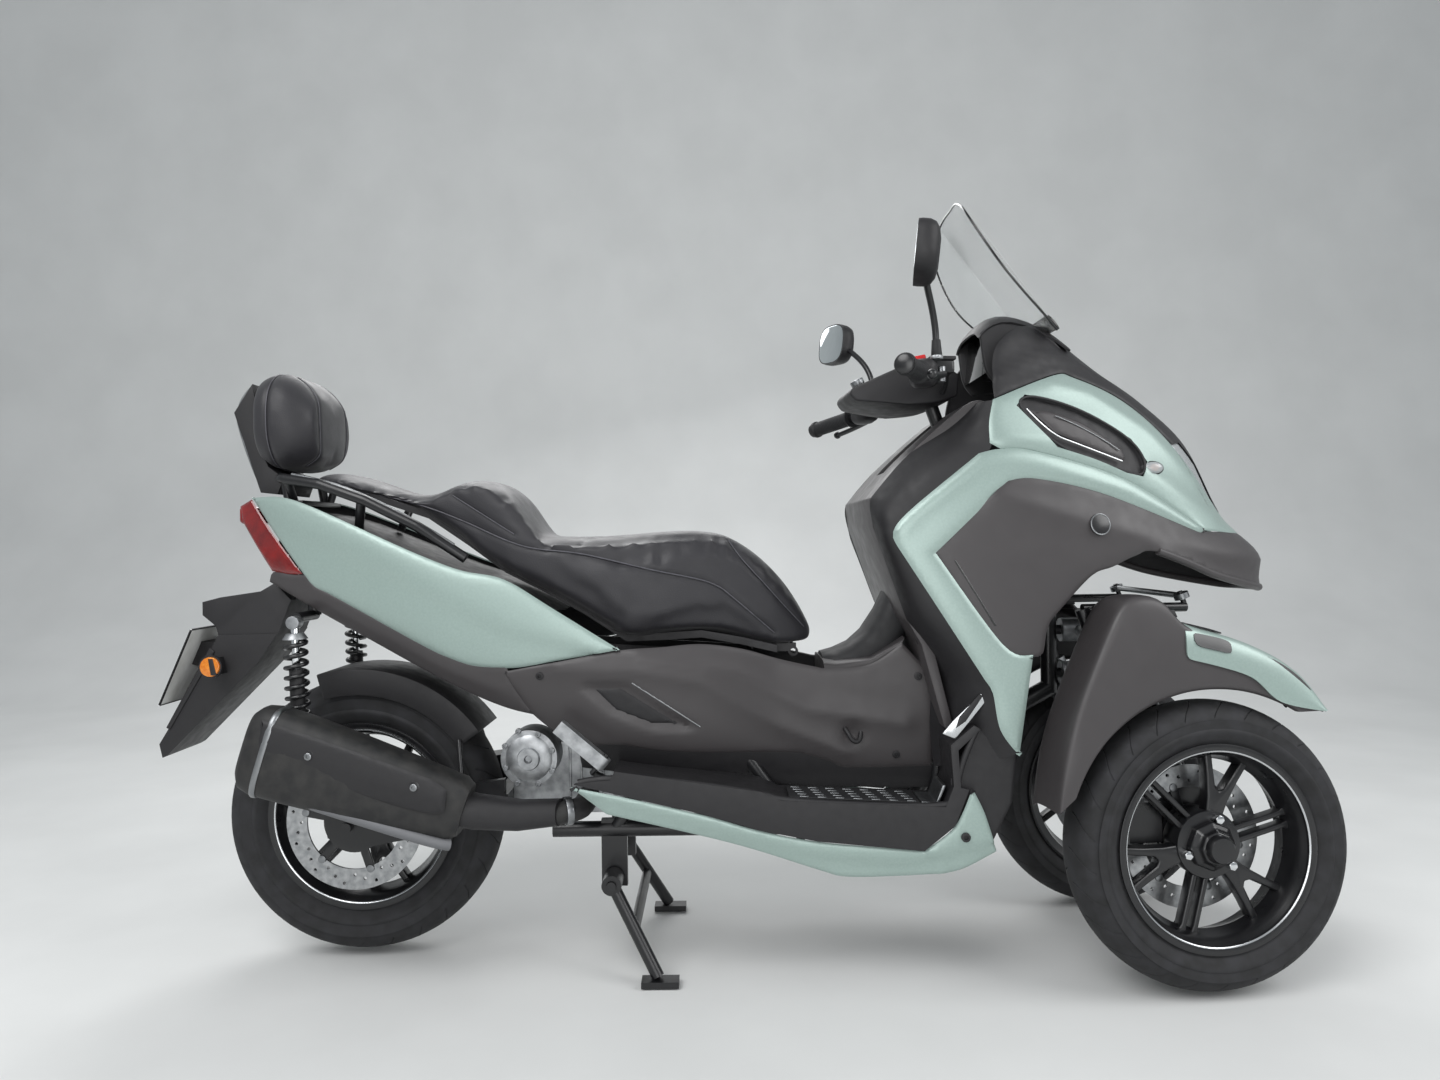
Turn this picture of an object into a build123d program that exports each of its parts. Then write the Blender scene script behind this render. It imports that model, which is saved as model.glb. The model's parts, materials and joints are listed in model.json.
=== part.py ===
"""A leaning three-wheel motor scooter, millimetres, +X forward, +Y left, +Z up from the floor."""

import os
from math import cos, radians, sin, sqrt, tan

from build123d import *

os.makedirs("parts", exist_ok=True)

# Driving dimensions of the chassis
front_axle_x = 845
rear_axle_x = -750
half_track = 235
caster = 20  # lean of the steering axes, degrees
trail = 68
fork_axis_y = 158
bar_axis_x, bar_axis_z = 400, 1130  # where the bar turns
length_shift = 20  # from the drawing's origin to the middle of the whole length
parked_steer = 6.5  # the steering is left turned this far to the left, degrees

# Wheels
front_tyre_radius, front_tyre_width = 262, 120
rear_tyre_radius, rear_tyre_width = 276, 140
bead_radius = 178
bead_share = 0.36  # half the width between the beads, as a share of the tyre's width
flange = 9
tyre_wall = 9
disc_radius, disc_thickness = 133.5, 5
rear_wheel_lift = 8  # on its centre stand
axle_radius, axle_clearance = 10, 0.5
hub_radius = 32

# Body
panel_thickness = 4
tube_radius = 15

front_axle_z = front_tyre_radius
rear_axle_z = rear_tyre_radius + rear_wheel_lift
lean = Vector(-sin(radians(caster)), 0, cos(radians(caster)))
ahead = Vector(cos(radians(caster)), 0, sin(radians(caster)))


def steering_x(z):
    """Where the fork axes are at a height."""
    return front_axle_x + trail - z * tan(radians(caster))


def bar_x(z):
    return bar_axis_x - (z - bar_axis_z) * tan(radians(caster))


def outline(runs):
    """Runs of points that each start where the last one ends: two points are a line, more are a curve."""
    first = last = Vector(*runs[0][0])
    for number, run in enumerate(runs):
        points = [Vector(*point) for point in run]
        if number:
            points = [last] + points
        if len(points) == 2:
            Line(*points)
        else:
            Spline(*points)
        last = points[-1]
    if (last - first).length > 0.01:
        Line(last, first)


def side_plate(runs, y_from, y_to):
    """A solid with an outline in side view, from one Y to a lower one."""
    with BuildPart() as plate:
        with BuildSketch(Plane.XZ.offset(-y_from)):
            with BuildLine():
                outline(runs)
            make_face()
        extrude(amount=y_from - y_to)
    return plate.part


def tub(corners, y_from, y_to, wall):
    """A straight-sided side plate hollowed from its left face, with a wall all round and a right wall."""
    with BuildPart() as piece:
        with BuildSketch(Plane.XZ.offset(-y_from)):
            with BuildLine():
                Polyline(*corners, close=True)
            make_face()
        extrude(amount=y_from - y_to)
        with BuildSketch(Plane.XZ.offset(-y_from)):
            with BuildLine():
                Polyline(*corners, close=True)
            make_face()
            offset(amount=-wall, kind=Kind.INTERSECTION, mode=Mode.REPLACE)
        extrude(amount=y_from - y_to - wall, mode=Mode.SUBTRACT)
    return piece.part


def rod(start, end, radius, mode=Mode.ADD):
    """A round bar between two points, added to the part being built."""
    along = Vector(*end) - Vector(*start)
    with Locations(Plane(origin=start, z_dir=along)):
        Cylinder(radius, along.length, align=(Align.CENTER, Align.CENTER, Align.MIN), mode=mode)


def tube(points, radius, bend=60):
    """A bent tube along straight runs with round corners."""
    with BuildPart() as bent:
        with BuildLine() as path:
            FilletPolyline(*points, radius=bend)
        with BuildSketch(Plane(origin=path.line @ 0, z_dir=path.line % 0)):
            Circle(radius)
        sweep()
    return bent.part


def mirrored(part):
    return mirror(part, about=Plane.XZ, mode=Mode.PRIVATE)


def save(part, label):
    """Writes a piece, moved so that the whole length is centred on the origin."""
    placed = part.moved(Location((length_shift, 0, 0)))
    placed.label = label
    export_step(placed, f"parts/{label}.step")


# The front body: level ellipses round one centre, as (height, nose, half width)
front_centre_x = 380
front_levels = [
    (190, 1000, 236),
    (560, 1045, 252),
    (785, 1066, 258),
    (862, 985, 256),
    (1012, 893, 240),
    (1100, 800, 212),
    (1160, 722, 185),
    (1300, 575, 150),
]

# The rear body: upright ellipses, as (station, half width, centre height, half height)
rear_stations = [
    (-1010, 62, 890, 230),
    (-860, 128, 850, 250),
    (-700, 170, 800, 265),
    (-530, 192, 715, 280),
    (-215, 196, 610, 300),
    (-60, 168, 585, 310),
    (90, 126, 570, 320),
    (420, 118, 560, 330),
]


def front_body(inset):
    with BuildPart() as body:
        for z, nose, half_width in front_levels:
            with BuildSketch(Plane.XY.offset(z)):
                with Locations((front_centre_x, 0)):
                    Ellipse(nose - front_centre_x - inset, half_width - inset)
        loft(ruled=True)
    return body.part


def rear_body(inset):
    with BuildPart() as body:
        for x, half_width, z, half_height in rear_stations:
            with BuildSketch(Plane(origin=(x, 0, z), x_dir=(0, 1, 0), z_dir=(1, 0, 0))):
                Ellipse(half_width - inset, half_height - inset)
        loft(ruled=True)
    return body.part


def skin(body, runs, thickness=panel_thickness, both=True):
    """The part of a body's skin that an outline in side view cuts out, on the right or all round."""
    with BuildPart() as panel:
        add(body(0))
        add(body(thickness), mode=Mode.SUBTRACT)
        add(side_plate(runs, 400 if both else -1, -400), mode=Mode.INTERSECT)
    return panel.part


def pair(part):
    """The right-hand piece and its mirror image."""
    with BuildPart() as two:
        add(part)
        add(mirrored(part))
    return two.part


# ---- Wheels, built about the Y axis through the origin


def tyre(radius, width):
    half, bead = width / 2, width * bead_share
    with BuildPart() as part:
        with BuildSketch(Plane.YZ):
            with BuildLine():
                Polyline((-bead, bead_radius + flange), (-bead, bead_radius), (bead, bead_radius),
                         (bead, bead_radius + flange))
                ThreePointArc((bead, bead_radius + flange), (half, (bead_radius + radius) / 2),
                              (half * 0.84, radius - 22))
                ThreePointArc((half * 0.84, radius - 22), (0, radius), (-half * 0.84, radius - 22))
                ThreePointArc((-half * 0.84, radius - 22), (-half, (bead_radius + radius) / 2),
                              (-bead, bead_radius + flange))
            make_face()
            offset(amount=-tyre_wall, mode=Mode.SUBTRACT)
            with Locations((0, bead_radius)):
                Rectangle(2 * (bead - tyre_wall), 4 * tyre_wall, mode=Mode.SUBTRACT)
        revolve(axis=Axis.Y)
    return part.part


def rim(width, disc_y, v_angles, bar_angles, spoke_y):
    """A cast wheel: barrel with flanges, hub, three forked and three double spokes, and a brake disc."""
    half = width * bead_share
    with BuildPart() as part:
        with BuildSketch(Plane.YZ):
            with BuildLine():
                Polyline((-half - 6, bead_radius + flange), (-half, bead_radius + flange),
                         (-half, bead_radius), (half, bead_radius),
                         (half, bead_radius + flange), (half + 6, bead_radius + flange),
                         (half + 4, bead_radius - 10), (half - 24, bead_radius - 16),
                         (0, bead_radius - 24), (-half + 24, bead_radius - 16),
                         (-half - 4, bead_radius - 10), close=True)
            make_face()
        revolve(axis=Axis.Y)
        with BuildSketch(Plane.XZ.offset(-spoke_y - 15)):
            Circle(62)
            for angle in v_angles:
                for turn in (-15, 15):
                    with Locations(Location((0, 0, 0), (0, 0, angle + turn))):
                        with Locations((104, 0)):
                            Rectangle(130, 17)
            for angle in bar_angles:
                for shift in (-11, 11):
                    with Locations(Location((0, 0, 0), (0, 0, angle))):
                        with Locations((104, shift)):
                            Rectangle(130, 11)
        extrude(amount=30)
        with Locations(Location((0, spoke_y, 0), (90, 0, 0))):
            Cylinder(hub_radius, 96)
        with Locations(Location((0, (spoke_y + disc_y) / 2, 0), (90, 0, 0))):
            Cylinder(58, abs(disc_y - spoke_y))
        with Locations(Location((0, disc_y, 0), (90, 0, 0))):
            Cylinder(disc_radius, disc_thickness)
        with BuildSketch(Plane.XZ.offset(-disc_y - 10)):
            with PolarLocations(82, 8):
                RectangleRounded(34, 30, 8)
        extrude(amount=20, mode=Mode.SUBTRACT)
        with Locations(Location((0, spoke_y, 0), (90, 0, 0))):
            Cylinder(axle_radius + axle_clearance, 300, mode=Mode.SUBTRACT)
    return part.part


front_v_angles, front_bar_angles = (75, 195, 315), (15, 135, 255)
front_disc_y = 46  # inboard of the wheel's middle
rear_disc_y = -92


def turned(part, side):
    """A piece of the steered gear on one side (-1 right, 1 left, 0 bar), at the parked steering angle."""
    if side:
        axis = Axis((steering_x(0), side * fork_axis_y, 0), lean)
    else:
        axis = Axis((bar_x(0), 0, 0), lean)
    return part.rotate(axis, parked_steer)


def front_wheel_piece(part, side):
    """A wheel piece made for the right side, put on either side."""
    placed = part if side < 0 else mirrored(part)
    return turned(placed.moved(Location((front_axle_x, side * half_track, front_axle_z))), side)


front_tyre = tyre(front_tyre_radius, front_tyre_width)
front_rim = rim(front_tyre_width, front_disc_y, front_v_angles, front_bar_angles, 0)
for side, name in ((-1, "right"), (1, "left")):
    save(front_wheel_piece(front_tyre, side), f"{name}_front_tyre")
    save(front_wheel_piece(front_rim, side), f"{name}_front_rim")

rear_place = Location((rear_axle_x, 0, rear_axle_z))
save(tyre(rear_tyre_radius, rear_tyre_width).moved(rear_place), "rear_tyre")
rear_rim = rim(rear_tyre_width, rear_disc_y, (45, 165, 285), (105, 225, 345), 0)
save(rear_rim.moved(rear_place), "rear_rim")

# ---- Front forks: two tubes inboard of the wheel, a stub axle, a spindle and the brake caliper

fork_tube_radius = 21
fork_tube_room = 8  # from a fork tube to the tyre
fork_tube_y = min(146, half_track - front_tyre_width / 2 - fork_tube_radius - fork_tube_room)
guard_stay_y = half_track - 48.6  # where the mudguard's stay meets it
caliper_width = 44
caliper_face = half_track - front_disc_y - caliper_width / 2
bracket_start = fork_tube_y - 13  # the caliper's bracket starts inside the fork tubes
fork_tube_gap = 74
spindle_radius = 14
spindle_low, spindle_high = 500, 690
fork_tube_ahead = 22  # the tube pair, ahead of the steering axis
tie_x, tie_z = 870, 690  # the ends of the steering arms
pin_radius = 5


def on_fork(z, forward=0):
    """A point on the steering axis at a height, moved square to it."""
    return (steering_x(z) + forward * ahead.X, z + forward * ahead.Z)


with BuildPart() as fork:
    for forward in (-fork_tube_gap / 2, fork_tube_gap / 2):
        low_x, low_z = on_fork(300, forward + fork_tube_ahead)
        top_x, top_z = on_fork(spindle_low, forward + fork_tube_ahead)
        rod((low_x, -fork_tube_y, low_z), (top_x, -fork_tube_y, top_z), fork_tube_radius)
    near_x, near_z = on_fork(spindle_low, fork_tube_ahead)
    with Locations(Location((near_x, -fork_tube_y - 2, near_z), (0, -caster, 0))):
        Box(128, 46, 24)
    low_x, low_z = on_fork(spindle_low)
    top_x, top_z = on_fork(spindle_high)
    rod((low_x, -fork_axis_y, low_z), (top_x, -fork_axis_y, top_z), spindle_radius)
    with Locations(Location((front_axle_x - 8, -fork_tube_y, front_axle_z + 34), (0, -caster, 0))):
        Box(118, 44, 96)
    # caliper behind the axle, astride the disc
    with Locations((front_axle_x - 98, -half_track + front_disc_y, front_axle_z + 34)):
        Box(64, caliper_width, 74)
    with Locations(Location((front_axle_x, -half_track + front_disc_y, front_axle_z), (90, 0, 0))):
        Cylinder(disc_radius + 3, disc_thickness + 6, mode=Mode.SUBTRACT)
    # stub axle
    rod((front_axle_x, -fork_tube_y, front_axle_z), (front_axle_x, -half_track - 45, front_axle_z),
        axle_radius)
    with Locations((front_axle_x - 84, -(caliper_face + bracket_start) / 2, front_axle_z + 34)):
        Box(60, caliper_face - bracket_start, 40)
    # stay of the mudguard
    rod((steering_x(684), -fork_axis_y, 684), (737, -guard_stay_y, 704.5), 6)
    # steering arm with the tie rod's pin
    rod((top_x, -fork_axis_y, top_z), (tie_x, -fork_axis_y, tie_z), 9)
    rod((tie_x, -fork_axis_y, tie_z), (tie_x - 32 * sin(radians(caster)), -fork_axis_y,
                                       tie_z + 32 * cos(radians(caster))), pin_radius)


with BuildPart() as tie_rod:
    middle_x, middle_z = tie_x - 23 * sin(radians(caster)), tie_z + 23 * cos(radians(caster))
    rod((middle_x, fork_axis_y - 10, middle_z), (middle_x, -fork_axis_y + 10, middle_z), 6)
    for y, bore in ((-fork_axis_y, pin_radius + 0.5), (fork_axis_y, pin_radius + 4)):
        with Locations(Location((middle_x, y, middle_z), (0, -caster, 0))):
            Cylinder(14, 11)
            Cylinder(bore, 20, mode=Mode.SUBTRACT)

# ---- Front mudguard: an arch with an outer side wall and a cover over the fork

guard_out = -half_track - 64
guard_in = -half_track + 58
guard_corners = [
    (545, 337), (551, 392), (562, 452), (582, 514), (612, 582), (643, 650), (672, 716), (755, 714),
    (784, 660), (826, 650), (870, 638), (915, 623), (958, 603), (995, 579), (1026, 550), (1054, 502),
    (960, 490), (960, 262), (560, 262),
]
with BuildPart() as mudguard:
    add(tub(guard_corners, guard_in, guard_out, panel_thickness))
    with Locations(Location((front_axle_x, -half_track, front_axle_z), (90, 0, 0))):
        Cylinder(front_tyre_radius + 20, 400, mode=Mode.SUBTRACT)
    with BuildSketch(Plane.XZ.offset(-guard_in - 300)):
        with BuildLine():
            Polyline((400, 200), (1100, 200), (1100, 520), (960, 505), (586, 367), (546, 337),
                     (400, 337), close=True)
        make_face()
    extrude(amount=600, mode=Mode.SUBTRACT)

for side, name in ((-1, "right"), (1, "left")):
    for piece, label in ((fork.part, "fork"), (mudguard.part, "front_mudguard")):
        placed = piece if side < 0 else mirrored(piece)
        save(turned(placed, side), f"{name}_{label}")
arm_end = Vertex(tie_x, -fork_axis_y, tie_z)
parked_end = arm_end.rotate(Axis((steering_x(0), -fork_axis_y, 0), lean), parked_steer)
shift = parked_end.center() - arm_end.center()
save(tie_rod.part.moved(Location(shift)), "tie_rod")

# ---- Frame: rails under the floor, risers to the steering head and the tail, and the stand's brackets

head_top, head_low = 1010, 690
stand_pivot_x, stand_pivot_z, stand_half_width, stand_pin = -239, 175, 150, 9
rail_y, rail_z = 95, 265
shock_y, shock_top = 158, 690
engine_half_width = 75
link_post_x, upper_link_z, lower_link_z = 648, 636, 548
link_pin = 10
peg_pivot, peg_pin = (-249, 214, 422), 5
peg_back, peg_axis = Vector(-0.76, 0, 0.65), Vector(0.65, 0, 0.76)
side_pivot, side_pin = (-40, 216, 212), 6

with BuildPart() as main_frame:
    for side in (-1, 1):
        add(tube([(stand_pivot_x - 120, side * rail_y, rail_z), (380, side * rail_y, rail_z),
                  (470, side * 80, 420), (bar_x(head_low) + 6, side * 18, head_low)], tube_radius))
        add(tube([(120, side * rail_y, rail_z), (-60, side * 105, 520), (-420, side * 110, 637),
                  (-760, side * 92, 790), (-900, side * 60, 830)], tube_radius))
        rod((-60, side * 105, 520), (stand_pivot_x, side * 96, rail_z), 13)
        rod((bar_x(820), side * 12, 820), (420, side * 90, 600), 11)
        rod((420, side * 90, 600), (384, side * rail_y, rail_z), 11)
        with Locations((stand_pivot_x, side * rail_y, (stand_pivot_z + rail_z) / 2)):
            Box(50, 16, rail_z - stand_pivot_z + 40)
        # shock mounts
        rod((-836, side * 62, 812), (-836, side * 62, shock_top), 13)
        rod((-836, side * 60, shock_top), (-836, side * (shock_y - 6), shock_top), 10)
    rod((-893, -64, 828), (-893, 64, 828), 13)
    rod((-420, -112, 640), (-420, 112, 640), 12)
    rod((stand_pivot_x, -stand_half_width - 20, stand_pivot_z),
        (stand_pivot_x, stand_half_width + 20, stand_pivot_z), stand_pin)
    rod((120, -rail_y, rail_z), (120, rail_y, rail_z), 12)
    rod((380, -rail_y, rail_z), (380, rail_y, rail_z), 12)
    rod((bar_x(head_low), 0, head_low), (bar_x(head_top), 0, head_top), 30)
    rod((bar_x(head_low - 20), 0, head_low - 20), (bar_x(head_top + 20), 0, head_top + 20), 17)
    # nose of the frame that carries the two link arms
    rod((bar_x(760), 0, 760), (link_post_x, 0, upper_link_z + 36), 20)
    rod((470, 0, 420), (link_post_x, 0, lower_link_z - 30), 18)
    rod((470, -80, 420), (470, 80, 420), 13)
    rod((link_post_x, 0, upper_link_z + 44), (link_post_x, 0, lower_link_z - 40), 16)
    for z in (upper_link_z, lower_link_z):
        rod((link_post_x, 0, z), (link_post_x + 100, 0, z), link_pin)
    # pins and brackets of the pegs and the side stand
    for side in (-1, 1):
        pivot = Vector(peg_pivot[0], side * peg_pivot[1], peg_pivot[2])
        rod(pivot - peg_axis * 28, pivot + peg_axis * 18, peg_pin)
        rod((-192, side * 99, 332), pivot - peg_axis * 25, 6)
        # engine hanger, floor support, and stays of the shield
        rod((-192, side * 99, 332), (-192, side * (engine_half_width + 0.3), 332), 10)
        rod((120, side * rail_y, rail_z), (120, side * 180, rail_z), 8)
        rod((120, side * 180, rail_z), (120, side * 180, 334.6), 8)
        rod((412, side * 90, 540), (412, side * 121.6, 540), 5)
        rod((416, side * 92, 560), (499.3, side * 240, 560), 6)
    rod((bar_x(880), 0, 880), (800, 0, 930), 9)
    rod((798, 0, 930), (935.6, 0, 930), 5)
    rod((side_pivot[0], rail_y, rail_z), (side_pivot[0], side_pivot[1] - 14, side_pivot[2]), 11)
    rod((side_pivot[0], side_pivot[1] - 16, side_pivot[2]), (side_pivot[0], side_pivot[1] + 8,
                                                             side_pivot[2]), side_pin)
save(main_frame.part, "main_frame")

with BuildPart() as engine_block:
    with Locations((-285, 0, 362)):
        Box(310, 2 * engine_half_width, 140)
    with Locations(Location((-396, -engine_half_width, 415), (90, 0, 0))):
        Cylinder(54, 70, align=(Align.CENTER, Align.CENTER, Align.MIN))
save(engine_block.part, "engine_block")

# ---- Rear: drive case and arm with the axle, shocks, mudguard, muffler

shock_low_x, shock_low_z = -828, 440
arm_out = 128

with BuildPart() as swing_arm:
    with BuildSketch(Plane.XZ.offset(-150)):
        with BuildLine():
            Polyline((-447, 380), (-700, 352), (-800, 340), (-822, 300), (-800, 232), (-560, 214),
                     (-447, 250),
                     close=True)
        make_face()
    extrude(amount=60)
    with BuildSketch(Plane.XZ.offset(arm_out - 16)):
        with BuildLine():
            Polyline((-447, 372), (-760, 330), (-796, 300), (-790, 262), (-740, 240), (-447, 290), close=True)
        make_face()
    extrude(amount=16)
    with Locations((-454.7, 0, 318)):
        Box(28.6, 2 * arm_out, 50)
    rod((rear_axle_x, -arm_out - 14, rear_axle_z), (rear_axle_x, 100, rear_axle_z), axle_radius)
    for side, start, top in ((-1, -arm_out + 8, 352), (1, 120, 362)):
        rod((-530, start, top), (-545, side * 85, 440), 5)
    for side, start in ((-1, -arm_out + 4), (1, 140)):
        rod((-780, start, 318), (shock_low_x, side * shock_y, shock_low_z), 10)
save(swing_arm.part, "swing_arm")

with BuildPart() as rear_shocks:
    for side in (-1, 1):
        low = (shock_low_x, side * shock_y, shock_low_z + 10.4)
        rod(low, (-836, side * shock_y, shock_top - 10.4), 9)
        rod((-833, side * shock_y, 535), (-835, side * shock_y, 650), 24)
        rod(low, (-831, side * shock_y, 530), 17)
save(rear_shocks.part, "rear_shocks")

with BuildPart() as rear_mudguard:
    with BuildSketch(Plane.YZ.offset(0)):
        with Locations((0, rear_tyre_radius + 20)):
            Rectangle(2 * 78, 4)
        with Locations((-78, rear_tyre_radius - 4), (78, rear_tyre_radius - 4)):
            Rectangle(4, 52)
    revolve(axis=Axis.Y, revolution_arc=70)
hugger = rear_mudguard.part.rotate(Axis.Y, -15).moved(Location((rear_axle_x, 0, rear_axle_z)))
save(hugger, "rear_mudguard")

muffler_y = -242
with BuildPart() as muffler:
    with BuildSketch(Plane(origin=(-866, muffler_y, 462), x_dir=(0, 1, 0), z_dir=(0.95, 0, -0.3))):
        RectangleRounded(102, 166, 40)
    with BuildSketch(Plane(origin=(-500, muffler_y + 6, 345), x_dir=(0, 1, 0), z_dir=(0.95, 0, -0.3))):
        RectangleRounded(92, 118, 36)
    loft()
    add(tube([(-506, -234, 344), (-430, -216, 318), (-290, -178, 326), (-290, -engine_half_width - 0.3,
                                                                        326)], 21, 34))
save(muffler.part, "muffler")

# ---- Tail: covers, light, plate holder, rail and backrest

tail_top = [(-946, 923), (-880, 923), (-820, 907), (-726, 868), (-592, 809), (-510, 778), (-430, 760),
            (-340, 706), (-215, 627)]
tail_bottom = [(-339, 606), (-414, 594), (-489, 596), (-540, 612), (-590, 635), (-761, 725), (-808, 747),
               (-828, 771)]
band_bottom = [(-860, 771), (-900, 777), (-912, 758), (-510, 546), (-388, 505), (-442, 585)]


def lines(corners):
    """An outline of straight runs."""
    return [list(corners[:2])] + [[corner] for corner in corners[2:]]


tail_covers = skin(rear_body, lines(tail_top + tail_bottom), both=False)
save(pair(tail_covers), "tail_covers")
tail_band = skin(rear_body, lines([(-415, 593.4), (-489, 595.4), (-540, 611.4), (-590, 634.4), (-761, 724.4),
                                   (-808, 746.4), (-828, 770.4)] + band_bottom), both=False)
save(pair(tail_band), "tail_under_covers")
lens = skin(rear_body, lines([(-948, 920), (-976, 907), (-972, 880), (-902, 779), (-862, 773), (-830, 773)]),
            10, both=False)
with BuildPart() as tail_light:
    add(pair(lens))
    with Locations((-968, 0, 888)):
        Box(24, 160, 34)
save(tail_light.part, "tail_light")

with BuildPart() as plate_holder:
    # bracket under the tail, a tab with the plate's lamp, and the long mud flap
    add(side_plate(lines([(-912, 754), (-940, 738), (-1020, 727), (-1056, 718), (-1056, 692), (-1030, 670),
                          (-1024, 646), (-906, 654), (-880, 720)]), 70, -70))
    add(side_plate(lines([(-1024, 652), (-1092, 520), (-1143, 437), (-1137, 410), (-1126, 416), (-945, 597),
                          (-906, 654)]), 74, -74))
    add(side_plate(lines([(-1022, 610), (-1013, 610), (-1006, 578), (-1017, 578)]), 118, -118))
    add(side_plate(lines([(-1074.4, 637.2), (-1094.3, 591.4), (-1057, 580), (-1030, 632)]), 40, -40))
    for side in (-1, 1):
        rod((-893, side * 24, 728), (-893, side * 24, 814.6), 9)
plate_tilt = 23.5
plate_length, plate_height = 200, 163
with BuildPart() as number_plate:
    with Locations(Location((-1096, 0, 592), (0, plate_tilt, 0))):
        Box(3, plate_length, plate_height)
save(plate_holder.part, "plate_holder")
save(number_plate.part, "number_plate")

rail_out = 162
carrier_hole_x, carrier_hole_y, carrier_hole_radius = 24, 60, 3.3  # bolts of a luggage carrier
with BuildPart() as grab_rail:
    for side in (-1, 1):
        add(tube([(-880, 0, 960), (-880, side * 118, 960), (-790, side * 148, 945),
                  (-700, side * rail_out, 913), (-600, side * rail_out, 862),
                  (-508, side * rail_out, 800)], 10, 22))
        rod((-862, side * 120, 952), (-862, side * 88, 912), 8)
        rod((-706, side * (rail_out - 4), 915), (-722, side * (rail_out - 34), 860), 9)
    with Locations((-868, 0, 912)):
        Box(52, 200, 10)
        with GridLocations(carrier_hole_x, carrier_hole_y, 2, 2):
            Hole(carrier_hole_radius)
    for side in (-1, 1):
        rod((-880, side * 90, 960), (-872, side * 90, 914), 9)
        rod((-893, side * 28, 910), (-893, side * 28, 841.3), 9)
save(grab_rail.part, "grab_rail")

with BuildPart() as backrest_frame:
    add(side_plate(lines([(-900, 930), (-934, 934), (-985, 1093), (-948, 1150), (-940, 1100), (-940, 1040),
                          (-918, 985), (-888, 962)]), 78, -78))
    with Locations(Location((-880, 0, 960), (90, 0, 0))):
        Cylinder(10.5, 400, mode=Mode.SUBTRACT)
with BuildPart() as backrest_pad:
    with BuildSketch(Plane(origin=(-934, 0, 1075), x_dir=(0, 1, 0), z_dir=(1, 0, 0))):
        RectangleRounded(230, 170, 70)
    with BuildSketch(Plane(origin=(-868, 0, 1075), x_dir=(0, 1, 0), z_dir=(1, 0, 0))):
        RectangleRounded(260, 190, 84)
    with BuildSketch(Plane(origin=(-800, 0, 1062), x_dir=(0, 1, 0), z_dir=(1, 0, 0))):
        RectangleRounded(190, 118, 55)
    loft()
    add(backrest_frame.part, mode=Mode.SUBTRACT)
save(backrest_frame.part, "backrest_frame")
save(backrest_pad.part, "backrest_pad")

# ---- Seat: a cushion on a pan, hinged at its front

seat_hinge, seat_pin = (118, 606), 5
seat_side = [
    [(-838, 958), (-836, 968)],
    [(-813, 972), (-712, 950), (-567, 931)],
    [(-536, 946), (-486, 952), (-434, 921), (-402, 874), (-370, 839)],
    [(-302, 836), (-186, 841), (-102, 846), (-9, 833), (35, 810), (92, 756), (139, 691), (163, 645)],
    [(156, 624)], [(90, 622)], [(13, 640)],
    [(-63, 654), (-139, 650), (-210, 648)],
    [(-291, 702), (-372, 748), (-444, 785), (-519, 841)],
    [(-594, 893), (-700, 928), (-838, 958)],
]
pan_drop = 14
pan_side = [(-830, 956), (-700, 927), (-594, 892), (-519, 840), (-444, 784), (-372, 747), (-291, 701),
            (-210, 647),
            (-139, 649), (-63, 653), (13, 639), (84, 622)]

with BuildPart() as seat_cushion:
    add(side_plate(seat_side, 180, -180))
    with BuildSketch(Plane.XY.offset(560)):
        with BuildLine():
            Spline((166, 0), (150, -62), (60, -100), (-120, -138), (-330, -160), (-480, -150), (-640, -142),
                   (-800, -118), (-838, -60), (-842, 0))
            Spline((-842, 0), (-838, 60), (-800, 118), (-640, 142), (-480, 150), (-330, 160), (-120, 138),
                   (60, 100), (150, 62), (166, 0))
        make_face()
    extrude(amount=460, mode=Mode.INTERSECT)
save(seat_cushion.part, "seat_cushion")

with BuildPart() as seat_pan:
    add(side_plate(lines(pan_side + [(x, z - pan_drop) for x, z in reversed(pan_side[2:])] + [(-700, 915)]),
                   104, -104))
    add(seat_cushion.part, mode=Mode.SUBTRACT)
    for side in (-1, 1):
        with Locations((seat_hinge[0] - 14, side * 60, seat_hinge[1] + 8)):
            Box(40, 14, 16)
        with Locations(Location((seat_hinge[0], side * 60, seat_hinge[1]), (90, 0, 0))):
            Cylinder(10, 14)
            Cylinder(seat_pin + 0.5, 20, mode=Mode.SUBTRACT)
save(seat_pan.part, "seat_base")

with BuildPart() as storage_box:
    with BuildSketch(Plane.XZ.offset(-76)):
        with BuildLine():
            Polyline((-407.7, 637), (40, 606), (40, 500), (-110, 456), (-380, 540), close=True)
        make_face()
    extrude(amount=152)
    with BuildSketch(Plane.XZ.offset(-76 + panel_thickness)):
        with BuildLine():
            Polyline((-403, 644), (35, 644), (35, 504), (-110, 461), (-375, 544), close=True)
        make_face()
    extrude(amount=152 - 2 * panel_thickness, mode=Mode.SUBTRACT)
save(storage_box.part, "storage_box")

# ---- Front and side panels

trim_outer = [(288, 840), (322, 881), (448, 981), (489, 989), (555, 985), (739, 930), (905, 836)]
trim_inner = [(890, 831), (691, 904), (554, 934), (501, 929), (364, 801), (486, 633), (542, 613)]
trim_rear = [(516, 429), (481, 477), (467, 544), (453, 568), (295, 814)]
shield_trims = skin(front_body, lines(trim_outer + trim_inner + trim_rear), 5, both=False)
save(pair(shield_trims), "shield_trims")

fairing_low = [(928, 826), (1019, 826), (1067, 790), (1067, 745), (1044, 719), (909, 750), (785, 797),
               (745, 791),
               (698, 771), (657, 756), (599, 699), (572, 665), (562, 615), (545, 612)]
fairing = skin(front_body, lines(trim_inner[::-1] + fairing_low[:-1]))
save(fairing, "front_fairing")

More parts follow.
